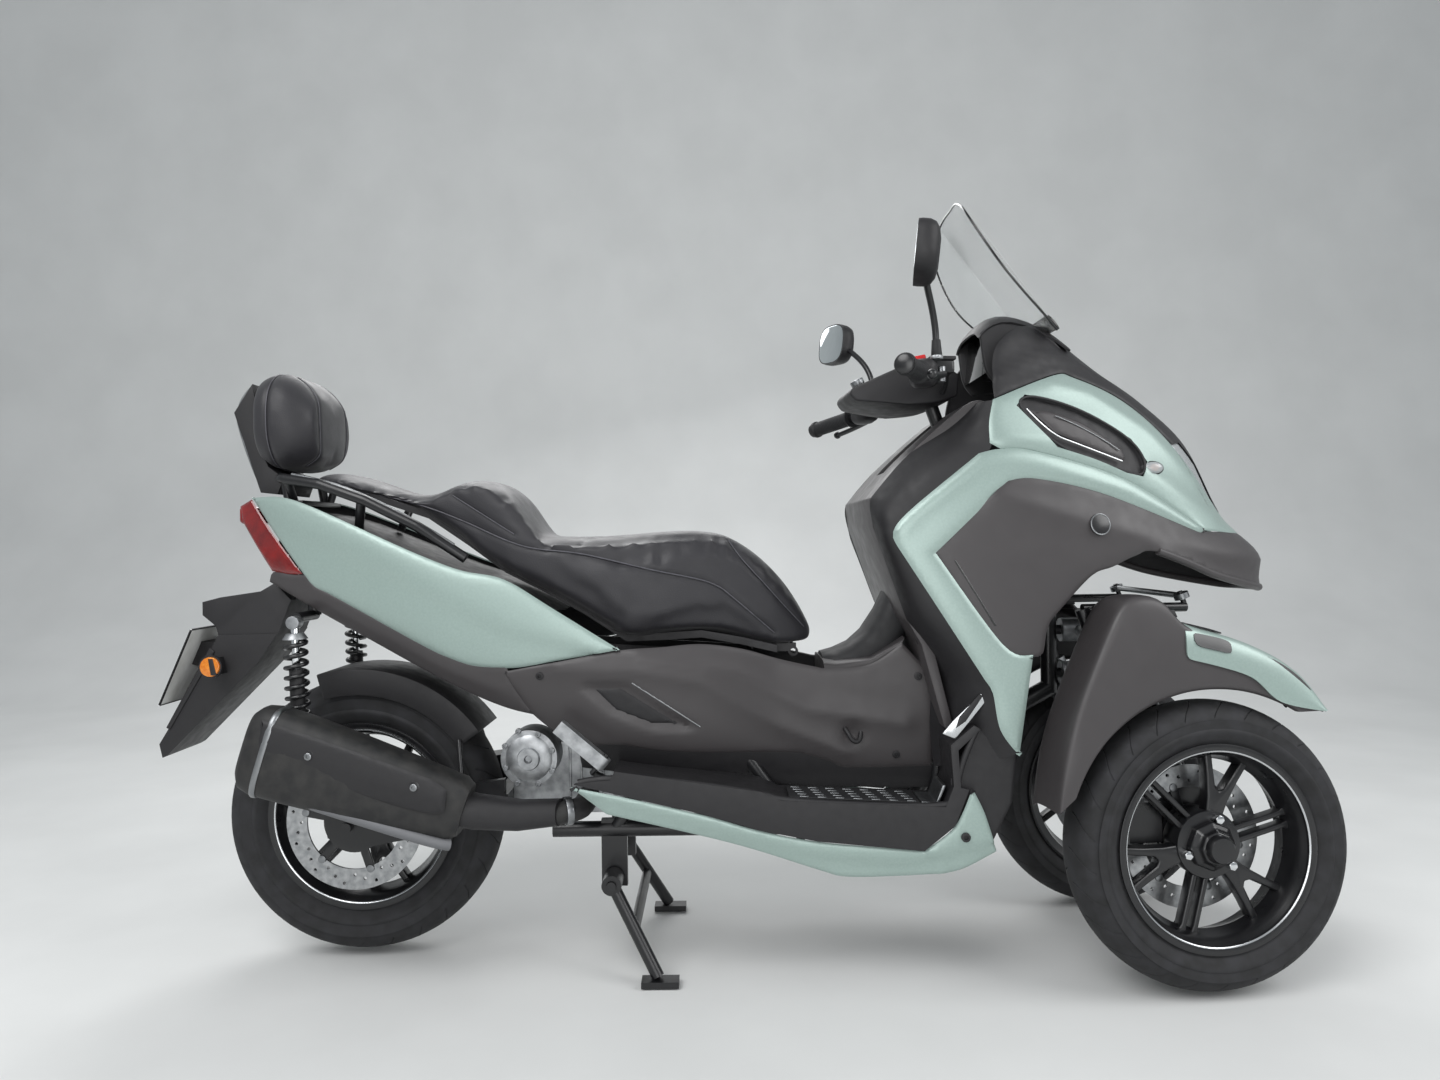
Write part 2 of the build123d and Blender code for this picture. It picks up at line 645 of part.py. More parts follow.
vent_edge = [(526, 1071), (545, 1093), (670, 1058), (753, 1010), (783, 967), (770, 938), (734, 945),
             (596, 992)]
lamp_edge = [(858, 1004), (886, 955), (928, 886), (968, 872), (952, 905), (921, 971), (880, 1010)]
cowl_top = [(484, 1083), (617, 1135), (661, 1132), (761, 1089), (854, 1006), (979, 865), (1021, 828)]
with BuildPart() as nose_cowl:
    add(skin(front_body, lines([(470, 1000)] + cowl_top + [(905, 836.4), (739, 930.4), (555, 985.4),
                                                           (489, 989.4)])))
    for side in (-1, 1):
        add(side_plate(lines(vent_edge), 300 if side > 0 else -60, 60 if side > 0 else -300),
            mode=Mode.SUBTRACT)
        add(side_plate(lines(lamp_edge), 170 if side > 0 else -34, 34 if side > 0 else -170),
            mode=Mode.SUBTRACT)
save(nose_cowl.part, "nose_cowl")
vents = skin(front_body, lines(vent_edge), 12, both=False)
save(pair(vents), "side_vents")
with BuildPart() as headlight:
    with BuildPart(mode=Mode.PRIVATE) as lens_shell:
        add(skin(front_body, lines(lamp_edge), 14, both=False))
        with Locations((900, -102, 940)):
            Box(400, 136, 400, mode=Mode.INTERSECT)
    add(pair(lens_shell.part))
save(headlight.part, "headlights")

# the black cowl under the screen, with its strip down the nose between the two lamps
with BuildPart() as screen_cowl:
    add(skin(front_body, lines([(486, 1084.2), (500, 1180), (560, 1236), (620, 1246), (1100, 1246),
                                (1100, 862), (984.4, 862), (979.9, 865.9), (854.8, 1006.8),
                                (764, 1088.1), (661, 1132.5), (617, 1135.5)])))
    for side in (-1, 1):
        add(side_plate(lines(lamp_edge), 170 if side > 0 else -34, 34 if side > 0 else -170),
            mode=Mode.SUBTRACT)
with BuildPart() as meter_hood:
    rod((560, 0, 1200), (666.5, 0, 1200), 8)
    add(side_plate(lines([(494, 1235), (531, 1272), (592, 1240), (600, 1150), (520, 1130), (506, 1150)]),
                   88, -88))
save(meter_hood.part, "meter_hood")

screen_base, screen_top, screen_bend, screen_thickness = Vector(652, 0, 1243), Vector(458, 0, 1500), 350, 4
screen_up = (screen_top - screen_base).normalized()
screen_out = Vector(screen_up.Z, 0, -screen_up.X)
screen_height = (screen_top - screen_base).length
with BuildPart() as windscreen:
    with Locations(Plane(origin=screen_base - screen_out * screen_bend, x_dir=screen_out, z_dir=screen_up)):
        Cylinder(screen_bend, screen_height, align=(Align.CENTER, Align.CENTER, Align.MIN))
        Cylinder(screen_bend - screen_thickness, screen_height, align=(Align.CENTER, Align.CENTER, Align.MIN),
                 mode=Mode.SUBTRACT)
    with BuildSketch(Plane(origin=screen_base, x_dir=(0, 1, 0), z_dir=screen_out).offset(-160)):
        with BuildLine():
            Spline((-128, 0), (-176, 90), (-186, 180), (-150, 280), (-70, screen_height - 4),
                   (0, screen_height))
            Spline((0, screen_height), (70, screen_height - 4), (150, 280), (186, 180), (176, 90), (128, 0))
            Line((128, 0), (-128, 0))
        make_face()
    extrude(amount=200, mode=Mode.INTERSECT)
save(windscreen.part, "windscreen")
screw_y = 70
sag = screen_bend - sqrt(screen_bend ** 2 - screw_y ** 2)
screw = screen_base + screen_up * 14 - screen_out * (sag + screen_thickness + 1.6)
with BuildPart() as screen_seat:
    add(screen_cowl.part)
    for side in (-1, 1):
        foot = screw - screen_out * 14 + Vector(0, side * screw_y, 0)
        tip = screw + Vector(0, side * screw_y, 0)
        rod((606, side * screw_y, 1232), foot, 6)
        rod(foot - screen_out * 4, tip, 6)
save(screen_seat.part, "screen_cowl")

with BuildPart() as inner_shield:
    add(side_plate(lines([(484, 1081), (440, 1078), (330, 985), (256, 903), (262, 850), (323, 675),
                          (350, 628),
                          (372, 628), (344, 690), (290, 850), (290, 880), (356, 960), (452, 1050),
                          (478, 1060)]),
                   196, -196))
    # the tunnel's top, from the shield back to the seat
    add(side_plate(lines([(92, 598), (152, 582), (185, 576), (263, 585), (329, 627), (349, 628), (330, 613),
                          (263, 572), (185, 564), (152, 570), (92, 586)]), 100, -100))
    # lugs and pin of the seat's hinge
    for side in (-1, 1):
        with Locations((seat_hinge[0], side * 38, seat_hinge[1] - 10)):
            Box(16, 12, 36)
    rod((seat_hinge[0], -72, seat_hinge[1]), (seat_hinge[0], 72, seat_hinge[1]), seat_pin)
    # the wall ahead of each foot
    for y_from, y_to in ((228, 122), (-122, -228)):
        add(side_plate(lines([(350, 629), (392, 560), (432, 488), (446, 488), (405, 562), (370, 629)]),
                       y_from, y_to))
    # clear of the frame's head and of the bar's stem
    with Locations((bar_x(950) - 60, 0, 1050)):
        Box(220, 92, 240, mode=Mode.SUBTRACT)
save(inner_shield.part, "inner_shield")

side_cover = skin(rear_body, lines([(-437, 586), (-339, 605.4), (-215, 626.4), (-139, 630), (-63, 633),
                                    (13, 620), (85, 598),
                                    (152, 582), (185, 576), (263, 584), (327, 624), (386, 560), (386, 380),
                                    (225, 378), (186, 392), (128, 410), (-115, 424), (-223, 441), (-300, 430),
                                    (-384, 503)]), both=False)
save(pair(side_cover), "side_covers")

board_out, board_in = 238, 116
board_top = [(-224, 409), (44, 369), (81, 352), (381, 337), (396, 375), (391, 449), (434, 485)]
board_under = [(446, 478), (405, 440), (409, 370), (392, 322), (81, 337), (44, 354), (-224, 394)]
with BuildPart() as footboard:
    for y_from, y_to in ((board_out, board_in), (-board_in, -board_out)):
        add(side_plate(lines(board_top + board_under), y_from, y_to))
    for y_from, y_to in ((board_out, board_out - 10), (10 - board_out, -board_out)):
        add(side_plate(lines([(-297, 386), (-262, 391), (-232, 393), (-222, 409), (44, 369), (81, 352),
                              (381, 337), (396, 375), (424, 368),
                              (398, 302), (341, 257), (147, 277), (43, 298), (-62, 329), (-191, 360)]),
                              y_from, y_to))
save(footboard.part, "footboards")

skirt_out, skirt_thickness = 238, 8
skirt_edge = [(-302, 381), (-191, 358), (-62, 327), (43, 296), (147, 275), (341, 255), (398, 300), (430, 370),
              (453, 323), (476, 251), (419, 221), (382, 211), (199, 207), (147, 221), (-10, 272), (-239, 329),
              (-272, 355)]
with BuildPart() as lower_skirts:
    add(side_plate(lines(skirt_edge), -skirt_out + skirt_thickness, -skirt_out))
    add(side_plate(lines(skirt_edge), skirt_out, skirt_out - skirt_thickness))
save(lower_skirts.part, "lower_skirts")

with BuildPart() as radiator_cover:
    with Locations(Location((509, 0, 330), (0, -4, 0))):
        Box(12, 176, 170)
save(radiator_cover.part, "radiator_cover")

# ---- Link arms of the leaning front: two beams on a fore-and-aft pin, an eye round each fork spindle

eye_outer, eye_height = 24, 22
arm_x = link_post_x + 58
with BuildPart() as link_arms:
    for z in (upper_link_z, lower_link_z):
        for side in (-1, 1):
            with Locations(Location((steering_x(z), side * fork_axis_y, z), (0, -caster, 0))):
                Cylinder(eye_outer, eye_height)
            rod((steering_x(z), side * (fork_axis_y - eye_outer + 2), z), (arm_x, side * 20, z), 11)
        rod((arm_x - 34, 0, z), (arm_x + 34, 0, z), 24)
        rod((arm_x - 40, 0, z), (arm_x + 60, 0, z), link_pin + 0.5, mode=Mode.SUBTRACT)
        for side in (-1, 1):
            with Locations(Location((steering_x(z), side * fork_axis_y, z), (0, -caster, 0))):
                Cylinder(spindle_radius + 0.5, 2 * eye_height, mode=Mode.SUBTRACT)
save(link_arms.part, "front_link_arms")

# ---- Handlebar: stem, bar, cover, grips, levers and mirrors

bar_radius, grip_radius = 11, 17
grip_end, grip_start = (247, 375, 1105), (312, 250, 1117)
stem_y = 225
with BuildPart() as handlebar:
    rod((bar_x(head_top + 20.3), 0, head_top + 20.3), (bar_x(1140), 0, 1140), 14)
    for side in (-1, 1):
        add(tube([(bar_axis_x - 4, 0, 1135), (bar_axis_x - 6, side * 90, 1138), (grip_start[0], side * 250,
                                                                                 1117),
                  (grip_end[0], side * 375, grip_end[2])], bar_radius, 30))
        # switch housing, brake cylinder and lever
        with Locations(Location((330, side * 214, 1122), (0, 0, side * 62))):
            Box(52, 44, 50)
        with Locations((369, side * 192, 1138)):
            Box(52, 42, 38)
        rod((368, side * 214, 1120), (352, side * 262, 1108), 8)
        rod((352, side * 262, 1108), (300, side * 356, 1092), 6)
        with Locations((297, side * 362, 1091)):
            Sphere(9)
with BuildPart() as bar_cover:
    add(side_plate(lines([(240, 1098), (232, 1122), (318, 1160), (390, 1180), (452, 1152), (446, 1108),
                          (340, 1086)]),
                   92, -92))
    add(handlebar.part, mode=Mode.SUBTRACT)
with BuildPart() as grips:
    for side in (-1, 1):
        start, end = Vector(grip_start[0] - 4, side * 258, 1116), Vector(grip_end[0], side * 375, grip_end[2])
        rod(start, end + (end - start).normalized() * 6, grip_radius)
    add(handlebar.part, mode=Mode.SUBTRACT)
with BuildPart() as mirrors:
    for side in (-1, 1):
        add(tube([(352, side * stem_y, 1148), (350, side * (stem_y + 4), 1200), (326, side * 262, 1262),
                  (297, side * 322, 1296)], 6, 24))
        with BuildSketch(Plane(origin=(302, side * 345, 1303), x_dir=(0, 1, 0), z_dir=(-1, 0, 0.12))):
            RectangleRounded(124, 96, 38)
        extrude(amount=22)
        with BuildSketch(Plane(origin=(302, side * 345, 1303), x_dir=(0, 1, 0), z_dir=(1, 0, -0.12))):
            RectangleRounded(124, 96, 38)
        extrude(amount=20, taper=35)
    add(handlebar.part, mode=Mode.SUBTRACT)
for part, label in ((handlebar.part, "handlebar"), (bar_cover.part, "handlebar_cover"),
                    (grips.part, "grips"), (mirrors.part, "mirrors")):
    save(turned(part, 0), label)

# ---- Stands and pegs

foot_x, foot_y = -150, 195
with BuildPart() as centre_stand:
    for side in (-1, 1):
        rod((stand_pivot_x, side * 110, stand_pivot_z), (stand_pivot_x, side * (stand_half_width + 14),
                                                        stand_pivot_z), 19)
        rod((stand_pivot_x + 4, side * stand_half_width, stand_pivot_z - 8), (foot_x, side * foot_y, 16), 12)
        with Locations((foot_x + 4, side * foot_y, 6)):
            Box(70, 34, 12)
    rod((-196, -172, 92), (-196, 172, 92), 10)
    rod((stand_pivot_x, -200, stand_pivot_z), (stand_pivot_x, 200, stand_pivot_z), stand_pin + 0.5,
        Mode.SUBTRACT)
save(centre_stand.part, "centre_stand")

with BuildPart() as side_stand:
    with Locations(Location(side_pivot, (90, 0, 0))):
        Cylinder(18, 12)
    rod((side_pivot[0] - 10, side_pivot[1], side_pivot[2] - 4), (-232, 224, 176), 9)
    with Locations(Location((-236, 226, 175), (90, 0, 0))):
        Cylinder(20, 8)
    with Locations(Location(side_pivot, (90, 0, 0))):
        Cylinder(side_pin + 0.5, 40, mode=Mode.SUBTRACT)
save(side_stand.part, "side_stand")

for side, name in ((-1, "right"), (1, "left")):
    start = Vector(peg_pivot[0], side * peg_pivot[1], peg_pivot[2])
    with BuildPart() as peg:
        with Locations(Plane(origin=start, x_dir=(0, 1, 0), z_dir=peg_back)):
            Box(24, 26, 104, align=(Align.CENTER, Align.CENTER, Align.MIN))
            Cylinder(12, 26, rotation=(90, 0, 0))
            Cylinder(peg_pin + 0.5, 80, rotation=(90, 0, 0), mode=Mode.SUBTRACT)
    save(peg.part, f"{name}_peg")
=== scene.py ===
# Three-wheel motor scooter: the looks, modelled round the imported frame.
# Lengths in the outlines are millimetres in side view, from the drawing's origin; all else is metres.
import json
import math

import bpy
from mathutils import Matrix, Vector


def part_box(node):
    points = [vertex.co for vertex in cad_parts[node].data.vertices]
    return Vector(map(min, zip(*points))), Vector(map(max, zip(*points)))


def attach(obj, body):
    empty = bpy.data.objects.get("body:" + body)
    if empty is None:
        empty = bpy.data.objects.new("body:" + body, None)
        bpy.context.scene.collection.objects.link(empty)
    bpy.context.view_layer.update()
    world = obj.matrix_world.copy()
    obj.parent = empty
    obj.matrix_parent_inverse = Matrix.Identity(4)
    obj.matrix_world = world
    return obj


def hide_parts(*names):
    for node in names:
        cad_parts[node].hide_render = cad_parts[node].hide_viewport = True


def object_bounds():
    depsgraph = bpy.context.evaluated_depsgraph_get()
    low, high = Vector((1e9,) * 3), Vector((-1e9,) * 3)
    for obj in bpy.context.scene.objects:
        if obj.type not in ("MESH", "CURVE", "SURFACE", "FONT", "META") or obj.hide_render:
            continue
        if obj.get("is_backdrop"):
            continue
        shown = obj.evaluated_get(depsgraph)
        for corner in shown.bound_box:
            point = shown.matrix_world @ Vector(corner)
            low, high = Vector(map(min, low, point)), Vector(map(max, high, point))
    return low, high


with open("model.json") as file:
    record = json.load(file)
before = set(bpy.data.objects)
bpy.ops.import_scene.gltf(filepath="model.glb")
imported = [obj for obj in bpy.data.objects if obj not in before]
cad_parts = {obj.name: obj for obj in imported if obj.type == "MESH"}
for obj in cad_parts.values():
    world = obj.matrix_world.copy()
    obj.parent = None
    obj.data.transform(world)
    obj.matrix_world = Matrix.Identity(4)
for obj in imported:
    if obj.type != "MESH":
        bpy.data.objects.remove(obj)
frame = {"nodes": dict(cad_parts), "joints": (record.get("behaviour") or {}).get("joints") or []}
cadLow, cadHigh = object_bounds()
nodes = frame["nodes"]
joints = {joint["name"]: joint for joint in frame["joints"]}
bpy.ops.object.select_all(action="DESELECT")

lengthShift = 20  # the drawing's origin, ahead of the model's
leanAxis = Vector(joints["steering"]["axis"])
parkedSteer = math.radians(6.5)  # the bar and the front wheels are parked turned left


# a point of the drawing, in the model
def mm(x, z, y=0):
    return Vector(((x + lengthShift) / 1000, y / 1000, z / 1000))


# Modelling tools


def selectOnly(piece):
    bpy.ops.object.select_all(action="DESELECT")
    piece.select_set(True)
    bpy.context.view_layer.objects.active = piece


# the piece's place goes into its mesh
def settle(piece):
    selectOnly(piece)
    bpy.ops.object.transform_apply(location=True, rotation=True, scale=True)
    return piece


def modify(piece, kind, **settings):
    modifier = piece.modifiers.new(kind.title(), kind)
    for key, value in settings.items():
        setattr(modifier, key, value)
    selectOnly(piece)
    bpy.ops.object.modifier_apply(modifier=modifier.name)
    return piece


def editAll(piece):
    selectOnly(piece)
    bpy.ops.object.mode_set(mode="EDIT")
    bpy.ops.mesh.select_all(action="SELECT")


# doubles merged, faces turned outwards
def tidyMesh(piece, merge=0.00002):
    editAll(piece)
    bpy.ops.mesh.remove_doubles(threshold=merge)
    bpy.ops.mesh.normals_make_consistent(inside=False)
    bpy.ops.object.mode_set(mode="OBJECT")
    return piece


def smooth(piece, angle=35):
    selectOnly(piece)
    bpy.ops.object.shade_smooth_by_angle(angle=math.radians(angle))
    return piece


def bevelled(piece, width=0.001, segments=2, angle=35):
    return smooth(modify(piece, "BEVEL", width=width, segments=segments, limit_method="ANGLE",
                         angle_limit=math.radians(angle), harden_normals=False))


def join(name, parts):
    bpy.ops.object.select_all(action="DESELECT")
    for part in parts:
        part.select_set(True)
    bpy.context.view_layer.objects.active = parts[0]
    if len(parts) > 1:
        bpy.ops.object.join()
    parts[0].name = name
    parts[0].data.name = name
    return parts[0]


def copyOf(piece, name=None):
    twin = piece.copy()
    twin.data = piece.data.copy()
    bpy.context.scene.collection.objects.link(twin)
    twin.name = name or piece.name + "Copy"
    return twin


# the same piece on the other side
def mirrored(piece, name=None):
    twin = copyOf(piece, name)
    twin.scale = (1, -1, 1)
    settle(twin)
    return tidyMesh(twin, 0.000001)


def moved(piece, matrix):
    piece.data.transform(matrix)
    return piece


def pair(name, piece):
    return join(name, [piece, mirrored(piece)])


# names a piece, and lets it ride on a body in place of the frame's nodes
def finish(piece, name, body, slot, *replaced):
    piece.name = piece.data.name = name
    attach(piece, body)
    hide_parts(*replaced)
    return piece


def ngon(name, points):
    bpy.ops.mesh.primitive_circle_add(vertices=len(points), fill_type="NGON")
    piece = bpy.context.object
    piece.name = name
    for vertex, point in zip(piece.data.vertices, points):
        vertex.co = point
    return piece


# a flat outline of points, thickened along a vector
def plate(name, points, depth, bevel=0.001, segments=2):
    piece = ngon(name, points)
    editAll(piece)
    bpy.ops.mesh.extrude_region_move(TRANSFORM_OT_translate={"value": depth})
    bpy.ops.mesh.select_all(action="SELECT")
    bpy.ops.mesh.normals_make_consistent(inside=False)
    bpy.ops.object.mode_set(mode="OBJECT")
    return bevelled(piece, bevel, segments) if bevel else smooth(piece)


# an outline in side view, from one Y to another, in millimetres
def sidePlate(name, runs, yFrom, yTo, bevel=0.001, segments=2):
    points = [mm(x, z, yFrom) for x, z in smoothRuns(runs)]
    return plate(name, points, (0, (yTo - yFrom) / 1000, 0), bevel, segments)


# a round bar between two points; tip is its radius at the end
def bar(name, start, end, radius, sides=24, tip=None, bevel=0.0006):
    start, end = Vector(start), Vector(end)
    along = end - start
    bpy.ops.mesh.primitive_cone_add(vertices=sides, radius1=radius, radius2=radius if tip is None else tip,
                                    depth=along.length)
    piece = bpy.context.object
    piece.name = name
    moved(piece, Matrix.Translation((start + end) / 2) @ along.to_track_quat("Z", "Y").to_matrix().to_4x4())
    return bevelled(piece, bevel, 2, 40) if bevel else smooth(piece)


def block(name, centre, size, turn=None, bevel=0.002, segments=3):
    bpy.ops.mesh.primitive_cube_add(size=1)
    piece = bpy.context.object
    piece.name = name
    matrix = Matrix.Translation(Vector(centre)) @ (turn or Matrix.Identity(4)) @ Matrix.Diagonal((*size, 1))
    moved(piece, matrix)
    return bevelled(piece, bevel, segments) if bevel else smooth(piece)


def ball(name, centre, radius, squash=(1, 1, 1), sides=24):
    bpy.ops.mesh.primitive_uv_sphere_add(segments=sides, ring_count=sides // 2, radius=radius)
    piece = bpy.context.object
    piece.name = name
    moved(piece, Matrix.Translation(Vector(centre)) @ Matrix.Diagonal((*squash, 1)))
    return smooth(piece, 180)


# a button head with a hexagon socket
def bolt(centre, normal, radius=0.006, height=0.004):
    normal = Vector(normal).normalized()
    bpy.ops.mesh.primitive_cylinder_add(vertices=18, radius=radius, depth=height)
    head = bpy.context.object
    bpy.ops.object.mode_set(mode="EDIT")
    bpy.ops.mesh.select_all(action="DESELECT")
    bpy.ops.object.mode_set(mode="OBJECT")
    for face in head.data.polygons:
        face.select = face.normal.z > 0.9
    bpy.ops.object.mode_set(mode="EDIT")
    bpy.ops.mesh.inset(thickness=radius * 0.22, depth=height * 0.2)
    bpy.ops.mesh.inset(thickness=radius * 0.26, depth=0)
    bpy.ops.mesh.inset(thickness=radius * 0.04, depth=-height * 0.7)
    bpy.ops.object.mode_set(mode="OBJECT")
    moved(head, Matrix.Translation(Vector(centre)) @ normal.to_track_quat("Z", "Y").to_matrix().to_4x4())
    return smooth(head, 35)


# a round tube along a smooth line
def tube(name, points, radius, resolution=8, sides=6, cyclic=False):
    curve = bpy.data.curves.new(name, "CURVE")
    curve.dimensions = "3D"
    curve.resolution_u = resolution
    curve.bevel_depth = radius
    curve.bevel_resolution = sides
    curve.use_fill_caps = True
    spline = curve.splines.new("NURBS")
    spline.points.add(len(points) - 1)
    for spot, point in zip(spline.points, points):
        spot.co = (*point, 1)
    spline.order_u = 3
    spline.use_endpoint_u = not cyclic
    spline.use_cyclic_u = cyclic
    piece = bpy.data.objects.new(name, curve)
    bpy.context.scene.collection.objects.link(piece)
    selectOnly(piece)
    bpy.ops.object.convert(target="MESH")
    piece = bpy.context.object
    return smooth(piece, 60)


# a closed profile of (radius, y) turned round the Y axis
def lathe(name, profile, steps=64):
    bpy.ops.mesh.primitive_circle_add(vertices=len(profile), fill_type="NOTHING")
    piece = bpy.context.object
    piece.name = name
    for vertex, (radius, y) in zip(piece.data.vertices, profile):
        vertex.co = (radius, y, 0)
    editAll(piece)
    bpy.ops.mesh.spin(steps=steps, angle=2 * math.pi, center=(0, 0, 0), axis=(0, 1, 0))
    bpy.ops.object.mode_set(mode="OBJECT")
    return smooth(tidyMesh(piece, 0.000005), 40)


# a skin over rings of points, all with the same count
def loft(name, rings, closed=True):
    count, length = len(rings[0]), len(rings)
    bpy.ops.mesh.primitive_grid_add(x_subdivisions=count, y_subdivisions=length - 1)
    piece = bpy.context.object
    piece.name = name
    for number, vertex in enumerate(piece.data.vertices):
        ring, spot = divmod(number, count + 1)
        vertex.co = rings[ring][spot % count]
    editAll(piece)
    bpy.ops.mesh.remove_doubles(threshold=0.000002)
    if closed:
        bpy.ops.mesh.fill_holes(sides=0)
    bpy.ops.mesh.select_all(action="SELECT")
    bpy.ops.mesh.normals_make_consistent(inside=False)
    bpy.ops.object.mode_set(mode="OBJECT")
    return smooth(piece, 50)


# gives a sheet its wall, with one material slot outside and one inside
def walled(piece, thickness):
    for slot in range(2):
        piece.data.materials.append(blackPlastic)
    modify(piece, "SOLIDIFY", thickness=thickness, offset=-1, material_offset=1)
    return smooth(piece, 50)


# a wall over rows of points, all with the same count
def openSheet(name, rows, thickness, levels=1):
    across, along = len(rows[0]), len(rows)
    bpy.ops.mesh.primitive_grid_add(x_subdivisions=across - 1, y_subdivisions=along - 1)
    piece = bpy.context.object
    piece.name = name
    for number, vertex in enumerate(piece.data.vertices):
        row, spot = divmod(number, across)
        vertex.co = rows[row][spot]
    piece.data.update()
    if sum(face.area * face.normal.y for face in piece.data.polygons) > 0:
        piece.data.flip_normals()
    if levels:
        modify(piece, "SUBSURF", levels=levels, render_levels=levels)
    return walled(piece, thickness)


# a copy of a frame node, merged, with its hard edges rounded
def refined(node, bevel=0.003, segments=3, angle=30):
    piece = tidyMesh(copyOf(nodes[node], node + "Copy"))
    modify(piece, "BEVEL", width=bevel, segments=segments, limit_method="ANGLE",
           angle_limit=math.radians(angle), use_clamp_overlap=True)
    piece.data.materials.clear()
    return smooth(piece, 40)


# one finish all over
def dressed(piece, finishOf):
    piece.data.polygons.foreach_set("material_index", [0] * len(piece.data.polygons))
    piece.data.materials.clear()
    piece.data.materials.append(finishOf)
    return piece


# one finish outside a panel's wall, which stays black inside
def coated(piece, outside):
    piece.data.materials[0] = outside
    return piece


# a rounded rectangle round a centre
def superRing(centre, acrossHalf, upHalf, across, up, power=4, count=32):
    points = []
    for spot in range(count):
        angle = 2 * math.pi * spot / count
        c, s = math.cos(angle), math.sin(angle)
        a = acrossHalf * math.copysign(abs(c) ** (2 / power), c)
        b = upHalf * math.copysign(abs(s) ** (2 / power), s)
        points.append(Vector(centre) + Vector(across) * a + Vector(up) * b)
    return points


# Outlines: runs of points, each a smooth curve that starts where the last one ends


# points no more than a step apart along the runs
def openRuns(runs, step=8):
    points = []
    last = None
    for run in runs:
        line = ([last] if last else []) + [tuple(point) for point in run]
        for number in range(len(line) - 1):
            before, start, end, after = (line[max(number - 1, 0)], line[number], line[number + 1],
                                         line[min(number + 2, len(line) - 1)])
            pieces = max(1, round(math.dist(start, end) / step))
            for part in range(pieces):
                t = part / pieces
                points.append(tuple(0.5 * (2 * p1 + (p2 - p0) * t + (2 * p0 - 5 * p1 + 4 * p2 - p3) * t * t
                                           + (3 * p1 - p0 - 3 * p2 + p3) * t ** 3)
                                    for p0, p1, p2, p3 in zip(before, start, end, after)))
        last = line[-1]
    return points + [last]


# the same, closed
def smoothRuns(runs, step=8):
    points = openRuns(runs, step)
    gap = math.dist(points[-1], points[0])
    if gap < 1:
        return points[:-1]
    pieces = max(1, round(gap / step))
    return points + [tuple(a + (b - a) * part / pieces for a, b in zip(points[-1], points[0]))
                     for part in range(1, pieces)]


# an outline of straight runs
def corners(points):
    return [[points[0], points[1]]] + [[point] for point in points[2:]]


# how far a point of the drawing is from a line of points, and on which side of it
def lineDistance(point, line):
    best, sideOf = 1e9, 1
    px, pz = point
    for (ax, az), (bx, bz) in zip(line, line[1:]):
        dx, dz = bx - ax, bz - az
        t = max(0, min(1, ((px - ax) * dx + (pz - az) * dz) / (dx * dx + dz * dz + 1e-9)))
        away = math.hypot(px - ax - t * dx, pz - az - t * dz)
        if away < best:
            best = away
            sideOf = 1 if dx * (pz - az) - dz * (px - ax) > 0 else -1
    return best, sideOf


# a relief that rises to a rounded edge along a line
def crease(line, width, height):
    def relief(x, z):
        away, _ = lineDistance((x, z), line)
        return height * (1 - away / width) ** 2 if away < width else 0
    return relief


# a relief that steps up across a line, on its left
def shelf(line, width, height):
    def relief(x, z):
        away, sideOf = lineDistance((x, z), line)
        t = max(-1, min(1, sideOf * away / width))
        return height * (0.5 + 0.75 * t - 0.25 * t ** 3)
    return relief


def inside(x, z, polygon):
    result = False
    for (ax, az), (bx, bz) in zip(polygon, polygon[1:] + polygon[:1]):
        if (az > z) != (bz > z) and x < (bx - ax) * (z - az) / (bz - az) + ax:
            result = not result
    return result


# a relief that sinks inside an outline, with a sloped wall
def pocket(runs, depth, wall=6):
    polygon = smoothRuns(runs, 6)
    def relief(x, z):
        if not inside(x, z, polygon):
            return 0
        away, _ = lineDistance((x, z), polygon + polygon[:1])
        return -depth * min(1, away / wall)
    return relief


# The body's two smooth forms, from the frame's stations


# smooth values between the rows of a table whose first column is where they hold
def between(table, at):
    keys = [row[0] for row in table]
    at = max(keys[0], min(keys[-1], at))
    number = max(i for i in range(len(keys) - 1) if keys[i] <= at)
    low, high = table[number], table[number + 1]
    before, after = table[max(number - 1, 0)], table[min(number + 2, len(table) - 1)]
    span = high[0] - low[0]
    t = (at - low[0]) / span
    values = []
    for column in range(1, len(low)):
        slopeLow = (high[column] - before[column]) / (high[0] - before[0]) * span
        slopeHigh = (after[column] - low[column]) / (after[0] - low[0]) * span
        values.append((2 * t ** 3 - 3 * t ** 2 + 1) * low[column] + (t ** 3 - 2 * t * t + t) * slopeLow
                      + (3 * t * t - 2 * t ** 3) * high[column] + (t ** 3 - t * t) * slopeHigh)
    return values


frontForm = {
    "centre": 380, "unroll": 400,
    "levels": [(190, 1000, 236), (560, 1045, 252), (785, 1066, 258), (862, 996, 256), (1012, 918, 240),
               (1100, 827, 212), (1160, 744, 185), (1300, 575, 150)],
}
rearForm = {
    "stations": [(-1010, 62, 890, 230), (-860, 128, 850, 250), (-700, 170, 800, 265), (-530, 192, 715, 280),
                 (-215, 196, 610, 300), (-60, 168, 585, 310), (90, 126, 570, 320), (420, 118, 560, 330)],
}


# a form is two functions: side view to its flat sheet, and the sheet back to space
def frontSheet(x, z):  # level ellipses round one centre, unrolled from the nose, right side positive
    nose, _ = between(frontForm["levels"], z)
    reach = (x - frontForm["centre"]) / (nose - frontForm["centre"])
    return math.acos(max(-1, min(1, reach))) * frontForm["unroll"], z


def frontPlace(s, z, out=0):
    nose, half = between(frontForm["levels"], z)
    angle = s / frontForm["unroll"]
    x = frontForm["centre"] + (nose - frontForm["centre"] + out) * math.cos(angle)
    return x, -(half + out) * math.sin(angle), z


